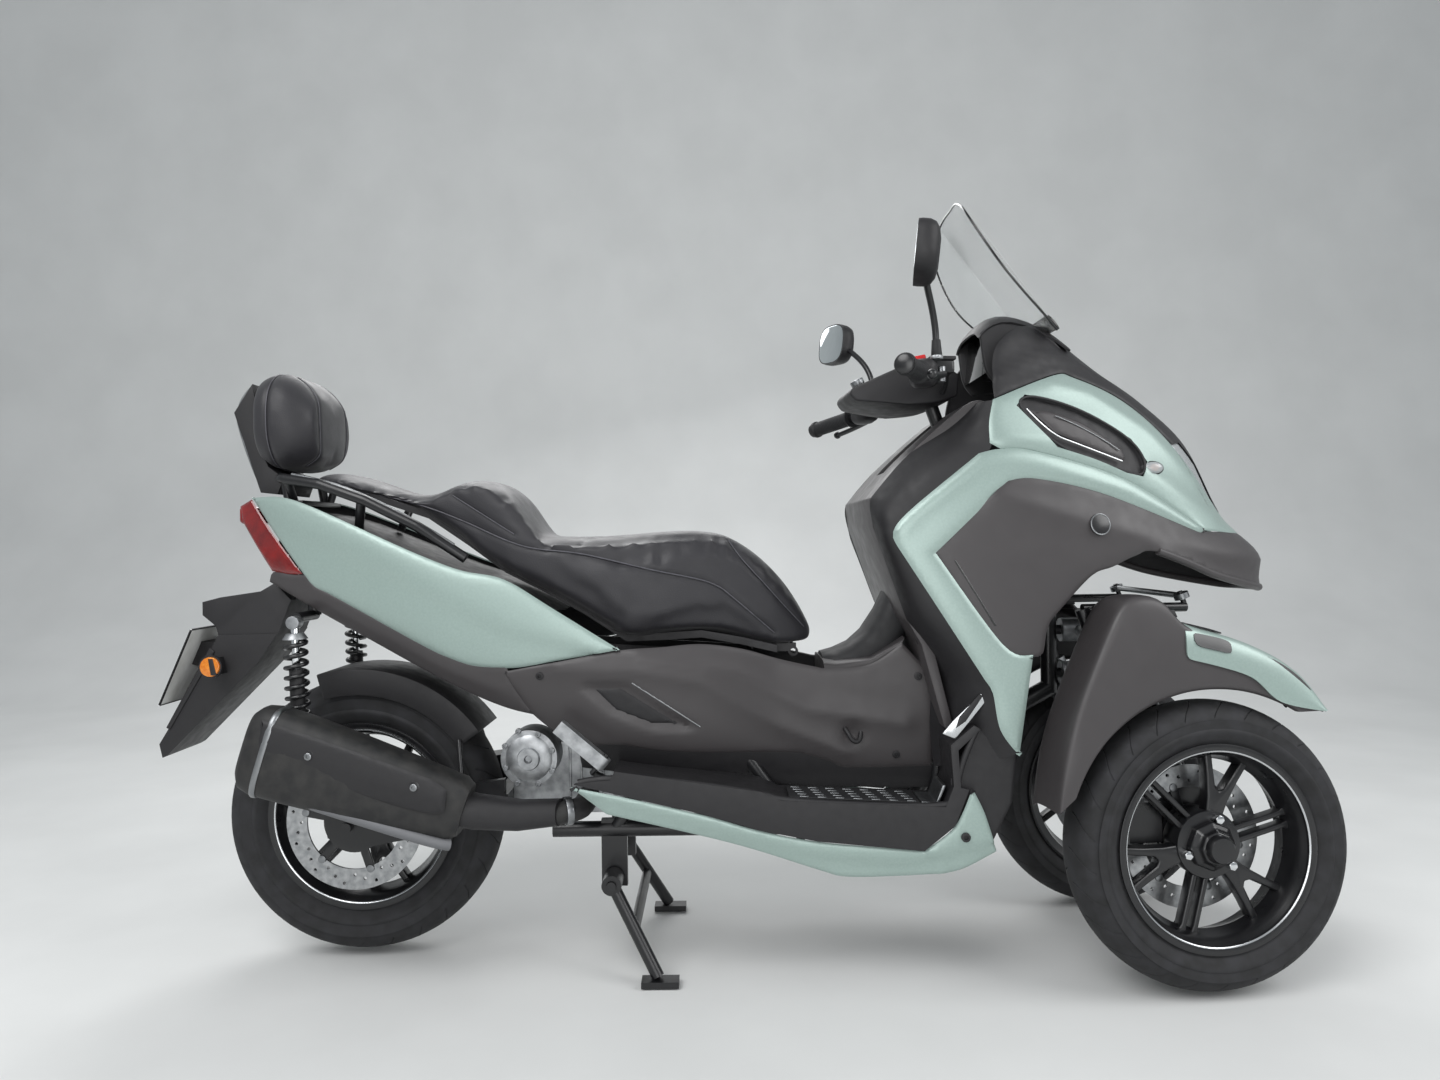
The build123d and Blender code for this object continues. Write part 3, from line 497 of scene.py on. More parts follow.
def sideSheet(x, z):
    return x, z


def rearPlace(x, z, out=0):  # upright ellipses along the tail, right side
    half, middle, up = between(rearForm["stations"], x)
    drop = max(0, 1 - ((z - middle) / up) ** 2)
    return x, -(half * math.sqrt(drop) + out), z


def flatForm(y, lean=0, level=0):  # an upright plane, or one that leans
    return sideSheet, lambda x, z, out=0: (x, -(y + lean * (z - level) + out), z)


front, rear = (frontSheet, frontPlace), (sideSheet, rearPlace)


def laid(form, x, z, out=0):  # a point of the side view on a form, in the model
    toSheet, toPlace = form
    x, y, z = toPlace(*toSheet(x, z), out)
    return mm(x, z, y)


# a moulded panel: an outline in side view laid on a form, with reliefs, rolled edges and a real wall;
# with across, the outline starts and ends in the middle and the panel runs over to the other side
def panel(name, runs, form, reliefs=(), thickness=3, grid=12, roll=3, rollWidth=7, across=False):
    toSheet, toPlace = form
    outline = openRuns(runs) if across else smoothRuns(runs)
    flat = [toSheet(x, z) for x, z in outline]
    if across:
        flat = [(0, flat[0][1])] + flat[1:-1] + [(0, flat[-1][1])]
        flat = flat + [(-s, z) for s, z in reversed(flat[1:-1])]
    piece = ngon(name, [(s / 1000, 0, z / 1000) for s, z in flat])
    low, high = ([edge(v.co[axis] for v in piece.data.vertices) for axis in range(3)] for edge in (min, max))
    editAll(piece)
    bpy.ops.mesh.inset(thickness=0.0022, use_even_offset=False)
    bpy.ops.mesh.inset(thickness=0.0028, use_even_offset=False)
    for axis in (0, 2):
        cuts = int((high[axis] - low[axis]) * 1000 / grid)
        for cut in range(1, cuts + 1):
            spot, normal = [0, 0, 0], [0, 0, 0]
            spot[axis], normal[axis] = low[axis] + cut * grid / 1000, 1
            bpy.ops.mesh.select_all(action="SELECT")
            bpy.ops.mesh.bisect(plane_co=spot, plane_no=normal)
    bpy.ops.object.mode_set(mode="OBJECT")
    loop = flat + flat[:1]
    for vertex in piece.data.vertices:
        s, z = vertex.co.x * 1000, vertex.co.z * 1000
        away, _ = lineDistance((s, z), loop)
        x = toPlace(s, z)[0]
        out = sum(relief(x, z) for relief in reliefs)
        if away < rollWidth:
            out -= roll * (1 - away / rollWidth) ** 2
        x, y, z = toPlace(s, z, out)
        vertex.co = mm(x, z, y)
    piece.data.update()
    outward = sum(face.area * (face.normal.x if across else -face.normal.y) for face in piece.data.polygons)
    if outward < 0:
        piece.data.flip_normals()
    return walled(piece, thickness / 1000)


# Finishes


# an sRGB hex colour, as linear light
def colour(hexText):
    channels = [int(hexText[i:i + 2], 16) / 255 for i in (1, 3, 5)]
    return (*[c / 12.92 if c <= 0.04045 else ((c + 0.055) / 1.055) ** 2.4 for c in channels], 1)


# adds a node; links go from an input's name or number to another node's output
def addNode(tree, kind, links=None, **settings):
    node = tree.nodes.new("ShaderNode" + kind)
    for key, value in settings.items():
        if key.startswith("in_"):
            node.inputs[key[3:].replace("_", " ")].default_value = value
        else:
            setattr(node, key, value)
    for socket, source in (links or {}).items():
        tree.links.new(source, node.inputs[socket])
    return node


# a Principled finish with its grain, and slow patches on one socket; constants sit on the shader's own sockets
def newFinish(name, base, roughness, grain, patches=None, **sockets):
    material = bpy.data.materials.new(name)
    material.use_nodes = True
    material.diffuse_color = colour(base)
    tree = material.node_tree
    shader = tree.nodes["Principled BSDF"]
    shader.inputs["Base Color"].default_value = colour(base)
    shader.inputs["Roughness"].default_value = roughness
    for key, value in sockets.items():
        shader.inputs[key.replace("_", " ")].default_value = value
    place = grainBump(tree, shader, *grain)
    if patches:
        varied(tree, shader, place, *patches)
    return material


# a bump of one grain size, in metres, over the whole surface
def grainBump(tree, shader, size, depth, kind="TexNoise", detail=2.0):
    place = addNode(tree, "TexCoord")
    pebbled = kind == "TexVoronoi"
    extra = ({"feature": "SMOOTH_F1", "in_Smoothness": 0.35} if pebbled
             else {"in_Detail": detail, "in_Roughness": 0.55})
    grain = addNode(tree, kind, {"Vector": place.outputs["Object"]}, in_Scale=1 / size, **extra)
    bump = addNode(tree, "Bump", {"Height": grain.outputs["Distance" if pebbled else "Fac"]}, in_Strength=1.0,
                   in_Distance=depth)
    tree.links.new(bump.outputs["Normal"], shader.inputs["Normal"])
    return place


# slow patches between two values or two colours on one socket
def varied(tree, shader, place, socket, low, high, size):
    cloud = addNode(tree, "TexNoise", {"Vector": place.outputs["Object"]}, in_Scale=1 / size, in_Detail=4.0)
    ramp = addNode(tree, "ValToRGB", {"Fac": cloud.outputs["Fac"]})
    for stop, position, value in zip(ramp.color_ramp.elements, (0.35, 0.68), (low, high)):
        stop.position = position
        stop.color = colour(value) if isinstance(value, str) else (value, value, value, 1)
    tree.links.new(ramp.outputs["Color"], shader.inputs[socket])


# Matt metallic paint on ABS: fine flakes under a soft clear coat, so it is pale and silky with slow highlights
mintPaint = newFinish("mattMetallicMintPaint", "#97A9A3", 0.36, (0.0016, 0.000008),
                      ("Base Color", "#94A6A0", "#9AACA6", 0.004), Metallic=0.28, Coat_Weight=0.22,
                      Coat_Roughness=0.32)

# Moulded ABS in warm dark grey: a satin spark-eroded grain that breaks up reflections
greyPlastic = newFinish("mouldedWarmGreyAbs", "#3D3A3B", 0.46, (0.0014, 0.00002),
                        ("Roughness", 0.42, 0.52, 0.03), IOR=1.5, Coat_Weight=0.08, Coat_Roughness=0.3)

# Unpainted black polypropylene: duller, with a coarser leathery grain
blackPlastic = newFinish("grainedBlackPolypropylene", "#1E1D1F", 0.55, (0.0022, 0.00005, "TexVoronoi"),
                         ("Roughness", 0.5, 0.62, 0.02), IOR=1.49)

# Polished black polycarbonate: deep and mirror-like, with the faintest ripple
glossBlack = newFinish("polishedBlackPolycarbonate", "#0B0B0C", 0.09, (0.03, 0.0001), IOR=1.58, Coat_Weight=0.5,
                       Coat_Roughness=0.04)

# Powder-coated steel tube: semi-gloss black with orange peel
frameBlack = newFinish("powderCoatedSteel", "#161618", 0.34, (0.0028, 0.00008), ("Roughness", 0.3, 0.42, 0.05),
                       IOR=1.5, Coat_Weight=0.15, Coat_Roughness=0.25)

# Sand-cast aluminium: pale grey and pitted, brighter where it is smooth
castAlloy = newFinish("sandCastAluminium", "#A4A6A8", 0.44, (0.0017, 0.00009),
                      ("Base Color", "#8D8F91", "#B2B4B6", 0.018), Metallic=0.92)

# Satin black enamel on cast wheels: smooth, with a soft sheen along the edges
rimBlack = newFinish("satinBlackEnamel", "#141416", 0.3, (0.004, 0.00004), ("Roughness", 0.27, 0.36, 0.04),
                     IOR=1.5, Coat_Weight=0.3, Coat_Roughness=0.22)

# Turned aluminium lip: bright, with fine rings left by the tool
turnedAlloy = newFinish("diamondTurnedAluminium", "#C9CBCD", 0.24, (0.001, 0.00001), Metallic=1.0)

# Brushed stainless disc: grey steel with scored rings and a little heat colour
discSteel = newFinish("scoredStainlessDisc", "#A9ABAE", 0.3, (0.0016, 0.00003, "TexNoise", 6.0),
                      ("Base Color", "#97999B", "#B7B8B9", 0.012), Metallic=1.0)

# Chromed steel: near-white mirror
chrome = newFinish("chromedSteel", "#DADCDE", 0.11, (0.02, 0.00003), ("Roughness", 0.08, 0.17, 0.03),
                   Metallic=1.0)

# Zinc-plated steel: dull silver with a blotchy grain
zincSteel = newFinish("zincPlatedSteel", "#8E9092", 0.36, (0.003, 0.00005), ("Roughness", 0.3, 0.46, 0.008),
                      Metallic=1.0)

# Tyre rubber: matt carbon black, greyer where dust sits in the grain
tyreRubber = newFinish("vulcanisedTyreRubber", "#1C1C1D", 0.78, (0.0015, 0.00006),
                       ("Base Color", "#19191A", "#27272A", 0.03), IOR=1.52)

# Soft rubber for grips, hoses and boots: matt, with a skin-like grain
softRubber = newFinish("softBlackRubber", "#19191B", 0.66, (0.002, 0.00006, "TexVoronoi"),
                       ("Roughness", 0.6, 0.74, 0.03), IOR=1.52)

# Grained vinyl over foam: black, with pebbles about 2 mm wide and a soft sheen on the turns
seatVinyl = newFinish("grainedSeatVinyl", "#242327", 0.5, (0.0024, 0.00016, "TexVoronoi"),
                      ("Roughness", 0.44, 0.58, 0.04), IOR=1.5, Sheen_Weight=0.12, Sheen_Roughness=0.5)

# Vinyl piping: a lighter grey cord cover that catches the light
pipingVinyl = newFinish("greyVinylPiping", "#4A494E", 0.42, (0.0015, 0.00006),
                        ("Base Color", "#434247", "#525157", 0.01), IOR=1.5)

# Ruby PMMA: glossy, dark red in its depth
redLens = newFinish("rubyPmma", "#74090C", 0.08, (0.006, 0.0003, "TexVoronoi"),
                    ("Base Color", "#6A080B", "#86100F", 0.03), IOR=1.49, Coat_Weight=0.6, Coat_Roughness=0.03,
                    Transmission_Weight=0.1)

# Amber PMMA: the same, orange
amberLens = newFinish("amberPmma", "#F08A1A", 0.1, (0.004, 0.0003, "TexVoronoi"),
                      ("Base Color", "#E07A10", "#F69A2E", 0.006), IOR=1.49, Coat_Weight=0.6,
                      Coat_Roughness=0.03, Transmission_Weight=0.2)

# Clear polycarbonate sheet: colourless, seen by its edges and its reflections
clearSheet = newFinish("clearPolycarbonateSheet", "#F4F8F8", 0.02, (0.12, 0.00015), IOR=1.2,
                       Transmission_Weight=1.0, Alpha=0.42)

# Clear moulded lens: optic ribs under a hard gloss
clearLens = newFinish("clearMouldedLens", "#DDE2E4", 0.05, (0.005, 0.0002, "TexVoronoi"), IOR=1.49,
                      Transmission_Weight=0.55, Coat_Weight=0.5, Coat_Roughness=0.03)

# Silvered mirror glass: a true mirror with a faint blue
mirrorGlass = newFinish("silveredGlass", "#D6DDE0", 0.025, (0.15, 0.00005), Metallic=1.0)

# Enamelled plate: white, slightly chalky, soiled towards its edges
plateEnamel = newFinish("whitePlateEnamel", "#DEDFDD", 0.36, (0.02, 0.00005),
                        ("Base Color", "#C9C9C5", "#E2E3E1", 0.05), Coat_Weight=0.2, Coat_Roughness=0.2)

# Heat-resistant silicone paint: flat black with a dusty bloom
heatPaint = newFinish("siliconeHeatPaint", "#1B1B1C", 0.6, (0.0018, 0.00007),
                      ("Base Color", "#171718", "#2A2928", 0.025), IOR=1.5)

# Red switch cap: glossy ABS
redAbs = newFinish("redMouldedAbs", "#C81E1E", 0.28, (0.002, 0.00002), ("Roughness", 0.24, 0.34, 0.01),
                   Coat_Weight=0.2, Coat_Roughness=0.1)

# Grey nylon: matt, for hoses, switch bodies and vents
greyNylon = newFinish("greyGlassFilledNylon", "#66676A", 0.52, (0.0016, 0.00005),
                      ("Roughness", 0.46, 0.6, 0.02), IOR=1.53)

print("finishes made")

# Camera, lights and floor

camera = {"place": (-0.005, -2.077, 0.829), "lens": 25.225, "roll": 0.7}
bpy.ops.object.camera_add(location=camera["place"], rotation=(math.radians(90), math.radians(camera["roll"]), 0))
eye = bpy.context.object
eye.data.lens = camera["lens"]
eye.data.sensor_width = 36
bpy.context.scene.camera = eye

floorLevel = cadLow.z
studio = {"half": 9, "wall": 4.2, "height": 5, "curve": 1.6}
bpy.ops.mesh.primitive_grid_add(x_subdivisions=1, y_subdivisions=24, size=2 * studio["half"])
backdrop = bpy.context.object
backdrop.name = "paperSweep"
for vertex in backdrop.data.vertices:  # the paper runs back, then turns up behind
    run = vertex.co.y
    start = studio["wall"] - studio["curve"]
    if run > start:
        turn = min(math.pi / 2, (run - start) / studio["curve"])
        extra = max(0, run - start - studio["curve"] * math.pi / 2)
        vertex.co.y = start + studio["curve"] * math.sin(turn)
        vertex.co.z = studio["curve"] * (1 - math.cos(turn)) + extra
    vertex.co.z += floorLevel
smooth(backdrop, 60)
# Matt studio paper: pale warm grey, faintly fibrous
paper = newFinish("mattStudioPaper", "#D9DAD9", 0.9, (0.01, 0.0001), ("Base Color", "#D6D7D6", "#DCDDDC", 0.4))
dressed(backdrop, paper)
backdrop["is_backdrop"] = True

lamps = {
    "keyPanel": {"place": (-1.6, -2.6, 3.4), "aim": (0, 0, 0.5), "size": 2.6, "power": 104},
    "frontPanel": {"place": (2.9, -1.4, 2.3), "aim": (0.3, 0, 0.6), "size": 2.0, "power": 50},
    "backPanel": {"place": (-0.6, 2.6, 3.2), "aim": (0, 0, 0.7), "size": 2.4, "power": 62},
    "lowPanel": {"place": (0.2, -3.4, 0.9), "aim": (0, 0, 0.4), "size": 1.8, "power": 26},
}
for name, lamp in lamps.items():
    bpy.ops.object.light_add(type="AREA", location=lamp["place"])
    light = bpy.context.object
    light.name = name
    light.data.size = lamp["size"]
    light.data.energy = lamp["power"]
    aim = Vector(lamp["aim"]) - Vector(lamp["place"])
    light.rotation_euler = aim.to_track_quat("-Z", "Y").to_euler()
world = bpy.data.worlds.new("studioWorld")
bpy.context.scene.world = world
world.use_nodes = True
world.node_tree.nodes["Background"].inputs["Color"].default_value = colour("#DDE2E6")
world.node_tree.nodes["Background"].inputs["Strength"].default_value = 0.55
bpy.context.scene.view_settings.view_transform = "Standard"
print("studio set")

# The frame's own nodes, each with the finish of the real part

nodeFinishes = {
    "main_frame": frameBlack, "engine_block": castAlloy, "swing_arm": frameBlack, "rear_shocks": rimBlack,
    "rear_mudguard": blackPlastic, "muffler": heatPaint, "tail_covers": mintPaint,
    "tail_under_covers": blackPlastic, "tail_light": redLens, "plate_holder": blackPlastic,
    "number_plate": plateEnamel, "grab_rail": blackPlastic, "backrest_frame": frameBlack,
    "backrest_pad": seatVinyl, "storage_box": blackPlastic, "side_covers": greyPlastic,
    "footboards": blackPlastic, "lower_skirts": mintPaint, "inner_shield": greyPlastic,
    "shield_trims": mintPaint, "front_fairing": greyPlastic, "nose_cowl": mintPaint, "side_vents": blackPlastic,
    "headlights": glossBlack, "screen_cowl": glossBlack, "meter_hood": blackPlastic, "windscreen": clearSheet,
    "radiator_cover": blackPlastic, "front_link_arms": castAlloy, "handlebar": frameBlack,
    "handlebar_cover": blackPlastic, "grips": softRubber, "mirrors": blackPlastic,
    "right_fork": rimBlack, "left_fork": rimBlack, "right_front_mudguard": greyPlastic,
    "left_front_mudguard": greyPlastic, "tie_rod": zincSteel, "right_front_tyre": tyreRubber,
    "left_front_tyre": tyreRubber, "right_front_rim": rimBlack, "left_front_rim": rimBlack,
    "rear_tyre": tyreRubber, "rear_rim": rimBlack, "seat_base": blackPlastic, "seat_cushion": seatVinyl,
    "centre_stand": frameBlack, "side_stand": frameBlack, "right_peg": castAlloy, "left_peg": castAlloy,
}
for name, finishOf in nodeFinishes.items():
    for slot in nodes[name].material_slots:
        slot.material = finishOf
print("frame nodes finished:", len(nodeFinishes))

# Body panels


# cuts an outline in side view clean through a piece
def cutOut(piece, runs, yFrom, yTo):
    cutter = sidePlate("cutter", runs, yFrom, yTo, bevel=0)
    modify(piece, "BOOLEAN", object=cutter, operation="DIFFERENCE", solver="FAST")
    bpy.data.objects.remove(cutter)
    return smooth(piece, 50)


# a narrow moulding laid on a form along a line in side view
def strip(name, form, line, width, height, sides=4, close=False):
    return tube(name, [laid(form, x, z, height) for x, z in line], width / 1000, sides=sides, cyclic=close)


# a point on a form, and the direction straight out of it
def onForm(form, x, z, out=0):
    centre, ahead, above = laid(form, x, z, out), laid(form, x + 4, z, out), laid(form, x, z + 4, out)
    normal = (above - centre).cross(ahead - centre).normalized()
    return centre, normal if normal.y < 0 else -normal


shieldTrim = {
    "outline": [[(295, 814), (288, 840), (322, 881), (448, 981)], [(489, 989), (555, 985), (739, 930), (905, 836)],
                [(890, 831)], [(691, 904), (554, 934), (501, 929)], [(364, 801)], [(486, 633), (542, 613)],
                [(516, 429)], [(481, 477), (467, 544), (453, 568)], [(295, 814)]],
    "slit": [[(392, 789), (402, 792)], [(478, 664)], [(470, 659)], [(392, 789)]],
    "slat": [(399, 787), (436, 727), (472, 668)],
    "ridge": [(300, 842), (330, 872), (452, 962), (500, 968), (560, 962), (735, 914), (880, 842)],
}
trim = panel("shieldTrim", shieldTrim["outline"], front,
             [lambda x, z: 2.2, crease(shieldTrim["ridge"], 26, 4), pocket(shieldTrim["slit"], 5, 3)],
             thickness=4, roll=4.5, rollWidth=11, grid=9)
coated(trim, mintPaint)
slat = dressed(strip("slat", front, shieldTrim["slat"], 2.2, -2.5), glossBlack)
finish(pair("shieldTrimPair", join("trim", [trim, slat])), "shieldTrimPair", "chassis", "mint", "shield_trims")

fairing = {
    "outline": [[(1021, 833), (970, 833), (930, 833)], [(893, 835)], [(691, 908), (555, 938), (499, 934)],
                [(360, 801)], [(482, 631), (546, 609)],
                [(562, 616), (572, 665), (599, 699), (657, 756), (698, 771), (745, 791), (785, 797), (909, 750),
                 (1044, 719)], [(1058, 728)]],
    "ridge": [(470, 905), (560, 880), (667, 852), (800, 820), (930, 792), (1066, 775)],
    "lip": [(785, 799), (850, 776), (909, 753), (980, 735), (1044, 722), (1060, 722)],
    "emblem": (667, 849), "emblemRadius": 0.019,
}
skirt = panel("noseFairing", fairing["outline"], front,
              [lambda x, z: -1.5, crease(fairing["ridge"], 58, 8), crease(fairing["lip"], 26, 7)], thickness=4,
              roll=3.5, rollWidth=9, across=True)
coated(skirt, greyPlastic)
place, normal = onForm(front, *fairing["emblem"], 6)
disc = bar("disc", place - normal * 0.006, place + normal * 0.0022, fairing["emblemRadius"], 40, bevel=0.0012)
dressed(disc, rimBlack)
bpy.ops.mesh.primitive_torus_add(major_radius=fairing["emblemRadius"], minor_radius=0.0014, major_segments=48,
                                 minor_segments=8)
ring = bpy.context.object
moved(ring, Matrix.Translation(place + normal * 0.0016) @ normal.to_track_quat("Z", "Y").to_matrix().to_4x4())
dressed(ring, zincSteel)
discs = pair("discs", join("disc", [disc, smooth(ring)]))
lipLine = [laid(front, x, z, 1) for x, z in openRuns([fairing["lip"]], 20)]
lip = tube("lip", lipLine + [Vector((p.x, -p.y, p.z)) for p in reversed(lipLine)], 0.0075, sides=5)
dressed(lip, greyPlastic)
finish(join("noseFairing", [skirt, discs, lip]), "noseFairing", "chassis", "grey_plastic", "front_fairing")

noseCowl = {
    "outline": [[(470, 1000), (472, 1040), (484, 1083)], [(617, 1135), (661, 1132), (761, 1089), (854, 1006),
                                                       (979, 865), (1021, 828)], [(905, 836.4)],
                [(739, 930.4), (555, 985.4), (489, 989.4)], [(470, 1000)]],
    "shoulder": [(500, 1010), (640, 1000), (780, 945), (930, 860)],
    "brow": [(600, 1118), (680, 1098), (790, 1030), (900, 925)],
    "vent": [[(526, 1071), (545, 1093)], [(600, 1083), (670, 1058), (753, 1010)], [(783, 967)], [(770, 938)],
             [(734, 945)], [(670, 970), (596, 992)], [(526, 1071)]],
    "lamp": [[(858, 1004), (886, 955), (928, 886)], [(968, 872)], [(952, 905), (921, 971)], [(880, 1010)],
             [(858, 1004)]],
}
cowl = panel("cowl", noseCowl["outline"], front,
             [crease(noseCowl["shoulder"], 40, 5), crease(noseCowl["brow"], 30, 4)], thickness=4, roll=3.5,
             rollWidth=10, grid=10)
cutOut(cowl, noseCowl["vent"], -330, -40)
cutOut(cowl, noseCowl["lamp"], -175, -30)
coated(cowl, mintPaint)
finish(pair("noseCowlPair", cowl), "noseCowlPair", "chassis", "mint", "nose_cowl")

sideVent = {
    "edge": [(526, 1071), (545, 1092), (600, 1083), (670, 1058), (753, 1010), (782, 967), (770, 939), (734, 946),
             (670, 971), (596, 993), (526, 1071)],
    "inner": [[(556, 1062), (600, 1020)], [(720, 974), (742, 972)], [(736, 990)], [(660, 1038), (590, 1062)],
              [(556, 1062)]],
    "chrome": [(545, 1065), (585, 1017), (640, 998), (728, 967)],
    "line": [(600, 1052), (660, 1030), (725, 988)],
    "indicator": (792, 955),
}
well = panel("well", [sideVent["edge"]], front, [lambda x, z: -9], thickness=3, roll=-6, rollWidth=6, grid=14)
inner = panel("inner", sideVent["inner"], front, [lambda x, z: -4], thickness=5, roll=3, rollWidth=8, grid=14)
coated(inner, greyPlastic)
border = dressed(strip("border", front, sideVent["edge"][:-1], 2.6, -0.5, close=True), blackPlastic)
chromeLine = dressed(strip("chromeLine", front, sideVent["chrome"], 1.8, -1), chrome)
fineLine = dressed(strip("fineLine", front, sideVent["line"], 1.1, -1.5), zincSteel)
place, normal = onForm(front, *sideVent["indicator"], 2)
base = dressed(ball("indicatorBase", place - normal * 0.003, 0.0165, (1.4, 0.5, 0.85)), blackPlastic)
lens = dressed(ball("indicatorLens", place, 0.0145, (1.35, 0.7, 0.8)), clearLens)
bulb = dressed(ball("indicatorBulb", place + normal * 0.002, 0.0085, (1.2, 0.75, 0.8)), amberLens)
finish(pair("sideVentPair", join("vent", [well, inner, border, chromeLine, fineLine, base, lens, bulb])),
       "sideVentPair", "chassis", "black_plastic", "side_vents")

lamp = {
    "line": [(868, 994), (893, 948), (926, 896)],
    "inner": [[(876, 984), (900, 943), (930, 898)], [(946, 892)], [(928, 925), (908, 966)], [(888, 990)],
              [(876, 984)]],
    "window": [(840, 1040), (1000, 1040), (1000, 840), (840, 840)],
}
bowl = panel("bowl", noseCowl["lamp"], front, [lambda x, z: -10], thickness=3, roll=-7, rollWidth=6, grid=12)
coated(bowl, rimBlack)
cover = panel("cover", noseCowl["lamp"], front, [lambda x, z: -2.2], thickness=2, roll=1.5, rollWidth=5, grid=12)
coated(cover, clearLens)
guide = panel("lightGuide", lamp["inner"], front, [lambda x, z: -5], thickness=3, roll=2, rollWidth=5, grid=12)
guideLine = dressed(strip("guideLine", front, lamp["line"], 2.2, -3.5), zincSteel)
for part in (bowl, cover, guide):
    cutOut(part, corners(lamp["window"]), -34, 60)  # clear of the middle
finish(pair("headlightPair", join("headlight", [bowl, guide, guideLine, cover])), "headlightPair", "chassis",
       "clear_lens", "headlights")

screenCowl = {
    "outline": [[(650, 1246), (620, 1246), (560, 1236)], [(525, 1212), (500, 1180), (488, 1120), (487, 1086)],
                [(617, 1137), (661, 1134), (764, 1090), (856, 1008)], [(981, 867)], [(990, 862)]],
    "ledge": [(495, 1130), (600, 1176), (680, 1166), (760, 1118)],
}
screenBase = panel("screenCowl", screenCowl["outline"], front, [crease(screenCowl["ledge"], 20, 5)], thickness=4,
                   roll=3.5, rollWidth=9, across=True)
for sign in (-1, 1):
    cutOut(screenBase, noseCowl["lamp"], sign * 34, sign * 175)
finish(screenBase, "screenCowl", "chassis", "black_plastic", "screen_cowl")
print("nose panels made")

tailCover = {
    "outline": [[(-946, 923), (-880, 923), (-820, 907), (-726, 868), (-592, 809), (-510, 778), (-430, 760),
                 (-340, 706), (-215, 627)], [(-339, 606), (-414, 594), (-489, 596), (-540, 612), (-590, 635),
                                             (-761, 725), (-808, 747), (-828, 771)], [(-946, 923)]],
    "shelf": [(-920, 905), (-855, 862), (-697, 800), (-531, 712), (-430, 664), (-300, 630)],
    "deck": [(-900, 898), (-820, 893), (-726, 852), (-592, 793), (-510, 762), (-430, 744), (-345, 698)],
}
tail = panel("tailCover", tailCover["outline"], rear, [shelf(tailCover["shelf"], 16, 6)], thickness=4, roll=4,
             rollWidth=10)
coated(tail, mintPaint)
deckRows = []
for x, z in tailCover["deck"]:
    side = laid(rear, x, z, -7).y * 1000
    deckRows.append([mm(x, z - 10 * (1 - abs(step) / 6), side * step / 6) for step in range(-6, 7)])
deck = dressed(openSheet("deck", deckRows, 0.003, 1), blackPlastic)  # closes the tail below the seat
finish(join("tailCoverPair", [pair("tails", tail), deck]), "tailCoverPair", "chassis", "mint", "tail_covers")

tailBand = {"outline": [[(-430, 598), (-489, 600), (-540, 616), (-590, 639), (-761, 729), (-806, 751),
                         (-824, 771)], [(-860, 773), (-900, 777), (-912, 758)], [(-510, 546), (-376, 500)],
                        [(-405, 545), (-430, 598)]],
            "ridge": [(-880, 765), (-800, 728), (-560, 596), (-440, 550)]}
band = panel("tailBand", tailBand["outline"], rear, [lambda x, z: -1.5, crease(tailBand["ridge"], 24, 4)],
             thickness=4, roll=3, rollWidth=8)
coated(band, greyPlastic)
finish(pair("tailBandPair", band), "tailBandPair", "chassis", "black_plastic", "tail_under_covers")

tailLight = {"outline": [[(-948, 920), (-976, 907)], [(-972, 880)], [(-938, 830), (-902, 779)], [(-862, 773),
                                                                                       (-832, 773)],
                         [(-890, 845), (-948, 920)]],
             "inner": [[(-946, 908), (-962, 898)], [(-960, 880)], [(-925, 828), (-896, 790)], [(-868, 784)],
                       [(-905, 840), (-946, 908)]]}
lens = panel("tailLens", tailLight["outline"], rear, thickness=4, roll=3, rollWidth=7, grid=8)
coated(lens, redLens)
glow = panel("tailGuide", tailLight["inner"], rear, [lambda x, z: -7], thickness=2, roll=1, rollWidth=4, grid=10)
coated(glow, zincSteel)
lenses = pair("lenses", join("lens", [lens, glow]))
middle = dressed(block("tailMiddle", mm(-966, 890), (0.026, 0.156, 0.036), bevel=0.009, segments=5), redLens)
finish(join("tailLight", [lenses, middle]), "tailLight", "chassis", "red_lens", "tail_light")

sideCover = {
    "outline": [[(-437, 586), (-339, 604), (-215, 625), (-139, 629), (-63, 632), (13, 620), (85, 598), (152, 582),
                 (185, 577), (263, 584), (327, 624)], [(386, 560)], [(386, 380)], [(225, 378), (186, 392),
                                                                              (128, 410)],
                [(-115, 424), (-223, 441), (-300, 432)], [(-384, 503), (-437, 586)]],
    "creases": [[(-330, 592), (-200, 590), (-60, 560), (90, 470), (210, 415)],
                [(-180, 612), (0, 575), (140, 500), (330, 470)]],
    "vent": [[(-290, 556), (-279, 567), (-204, 568)], [(-70, 474)], [(-101, 466), (-160, 473)], [(-236, 505)],
             [(-290, 556)]],
    "slot": [[(-262, 552), (-215, 553)], [(-110, 482)], [(-160, 484)], [(-225, 512)], [(-262, 552)]],
    "bright": [(-193, 564), (-130, 520), (-67, 474)],
    "screws": [(-365, 579), (314, 406), (356, 560)], "hook": (228, 448),
}
cover = panel("sideCover", sideCover["outline"], rear,
              [crease(line, 46, 7) for line in sideCover["creases"]]
              + [pocket(sideCover["vent"], 9, 12),
                 lambda x, z: -9 * max(0, 1 - math.dist((x, z), sideCover["hook"]) / 34)],
              thickness=4, roll=3.5, rollWidth=9, grid=9)
coated(cover, greyPlastic)
slot = panel("slot", sideCover["slot"], rear, [lambda x, z: -6.5], thickness=1.5, roll=2, rollWidth=6)
bright = dressed(strip("bright", rear, sideCover["bright"], 1.6, 0.4), zincSteel)
details = [cover, slot, bright]
for x, z in sideCover["screws"]:
    details.append(dressed(bolt(*onForm(rear, x, z, 0.5), 0.0075, 0.004), blackPlastic))
place, normal = onForm(rear, *sideCover["hook"], -7)
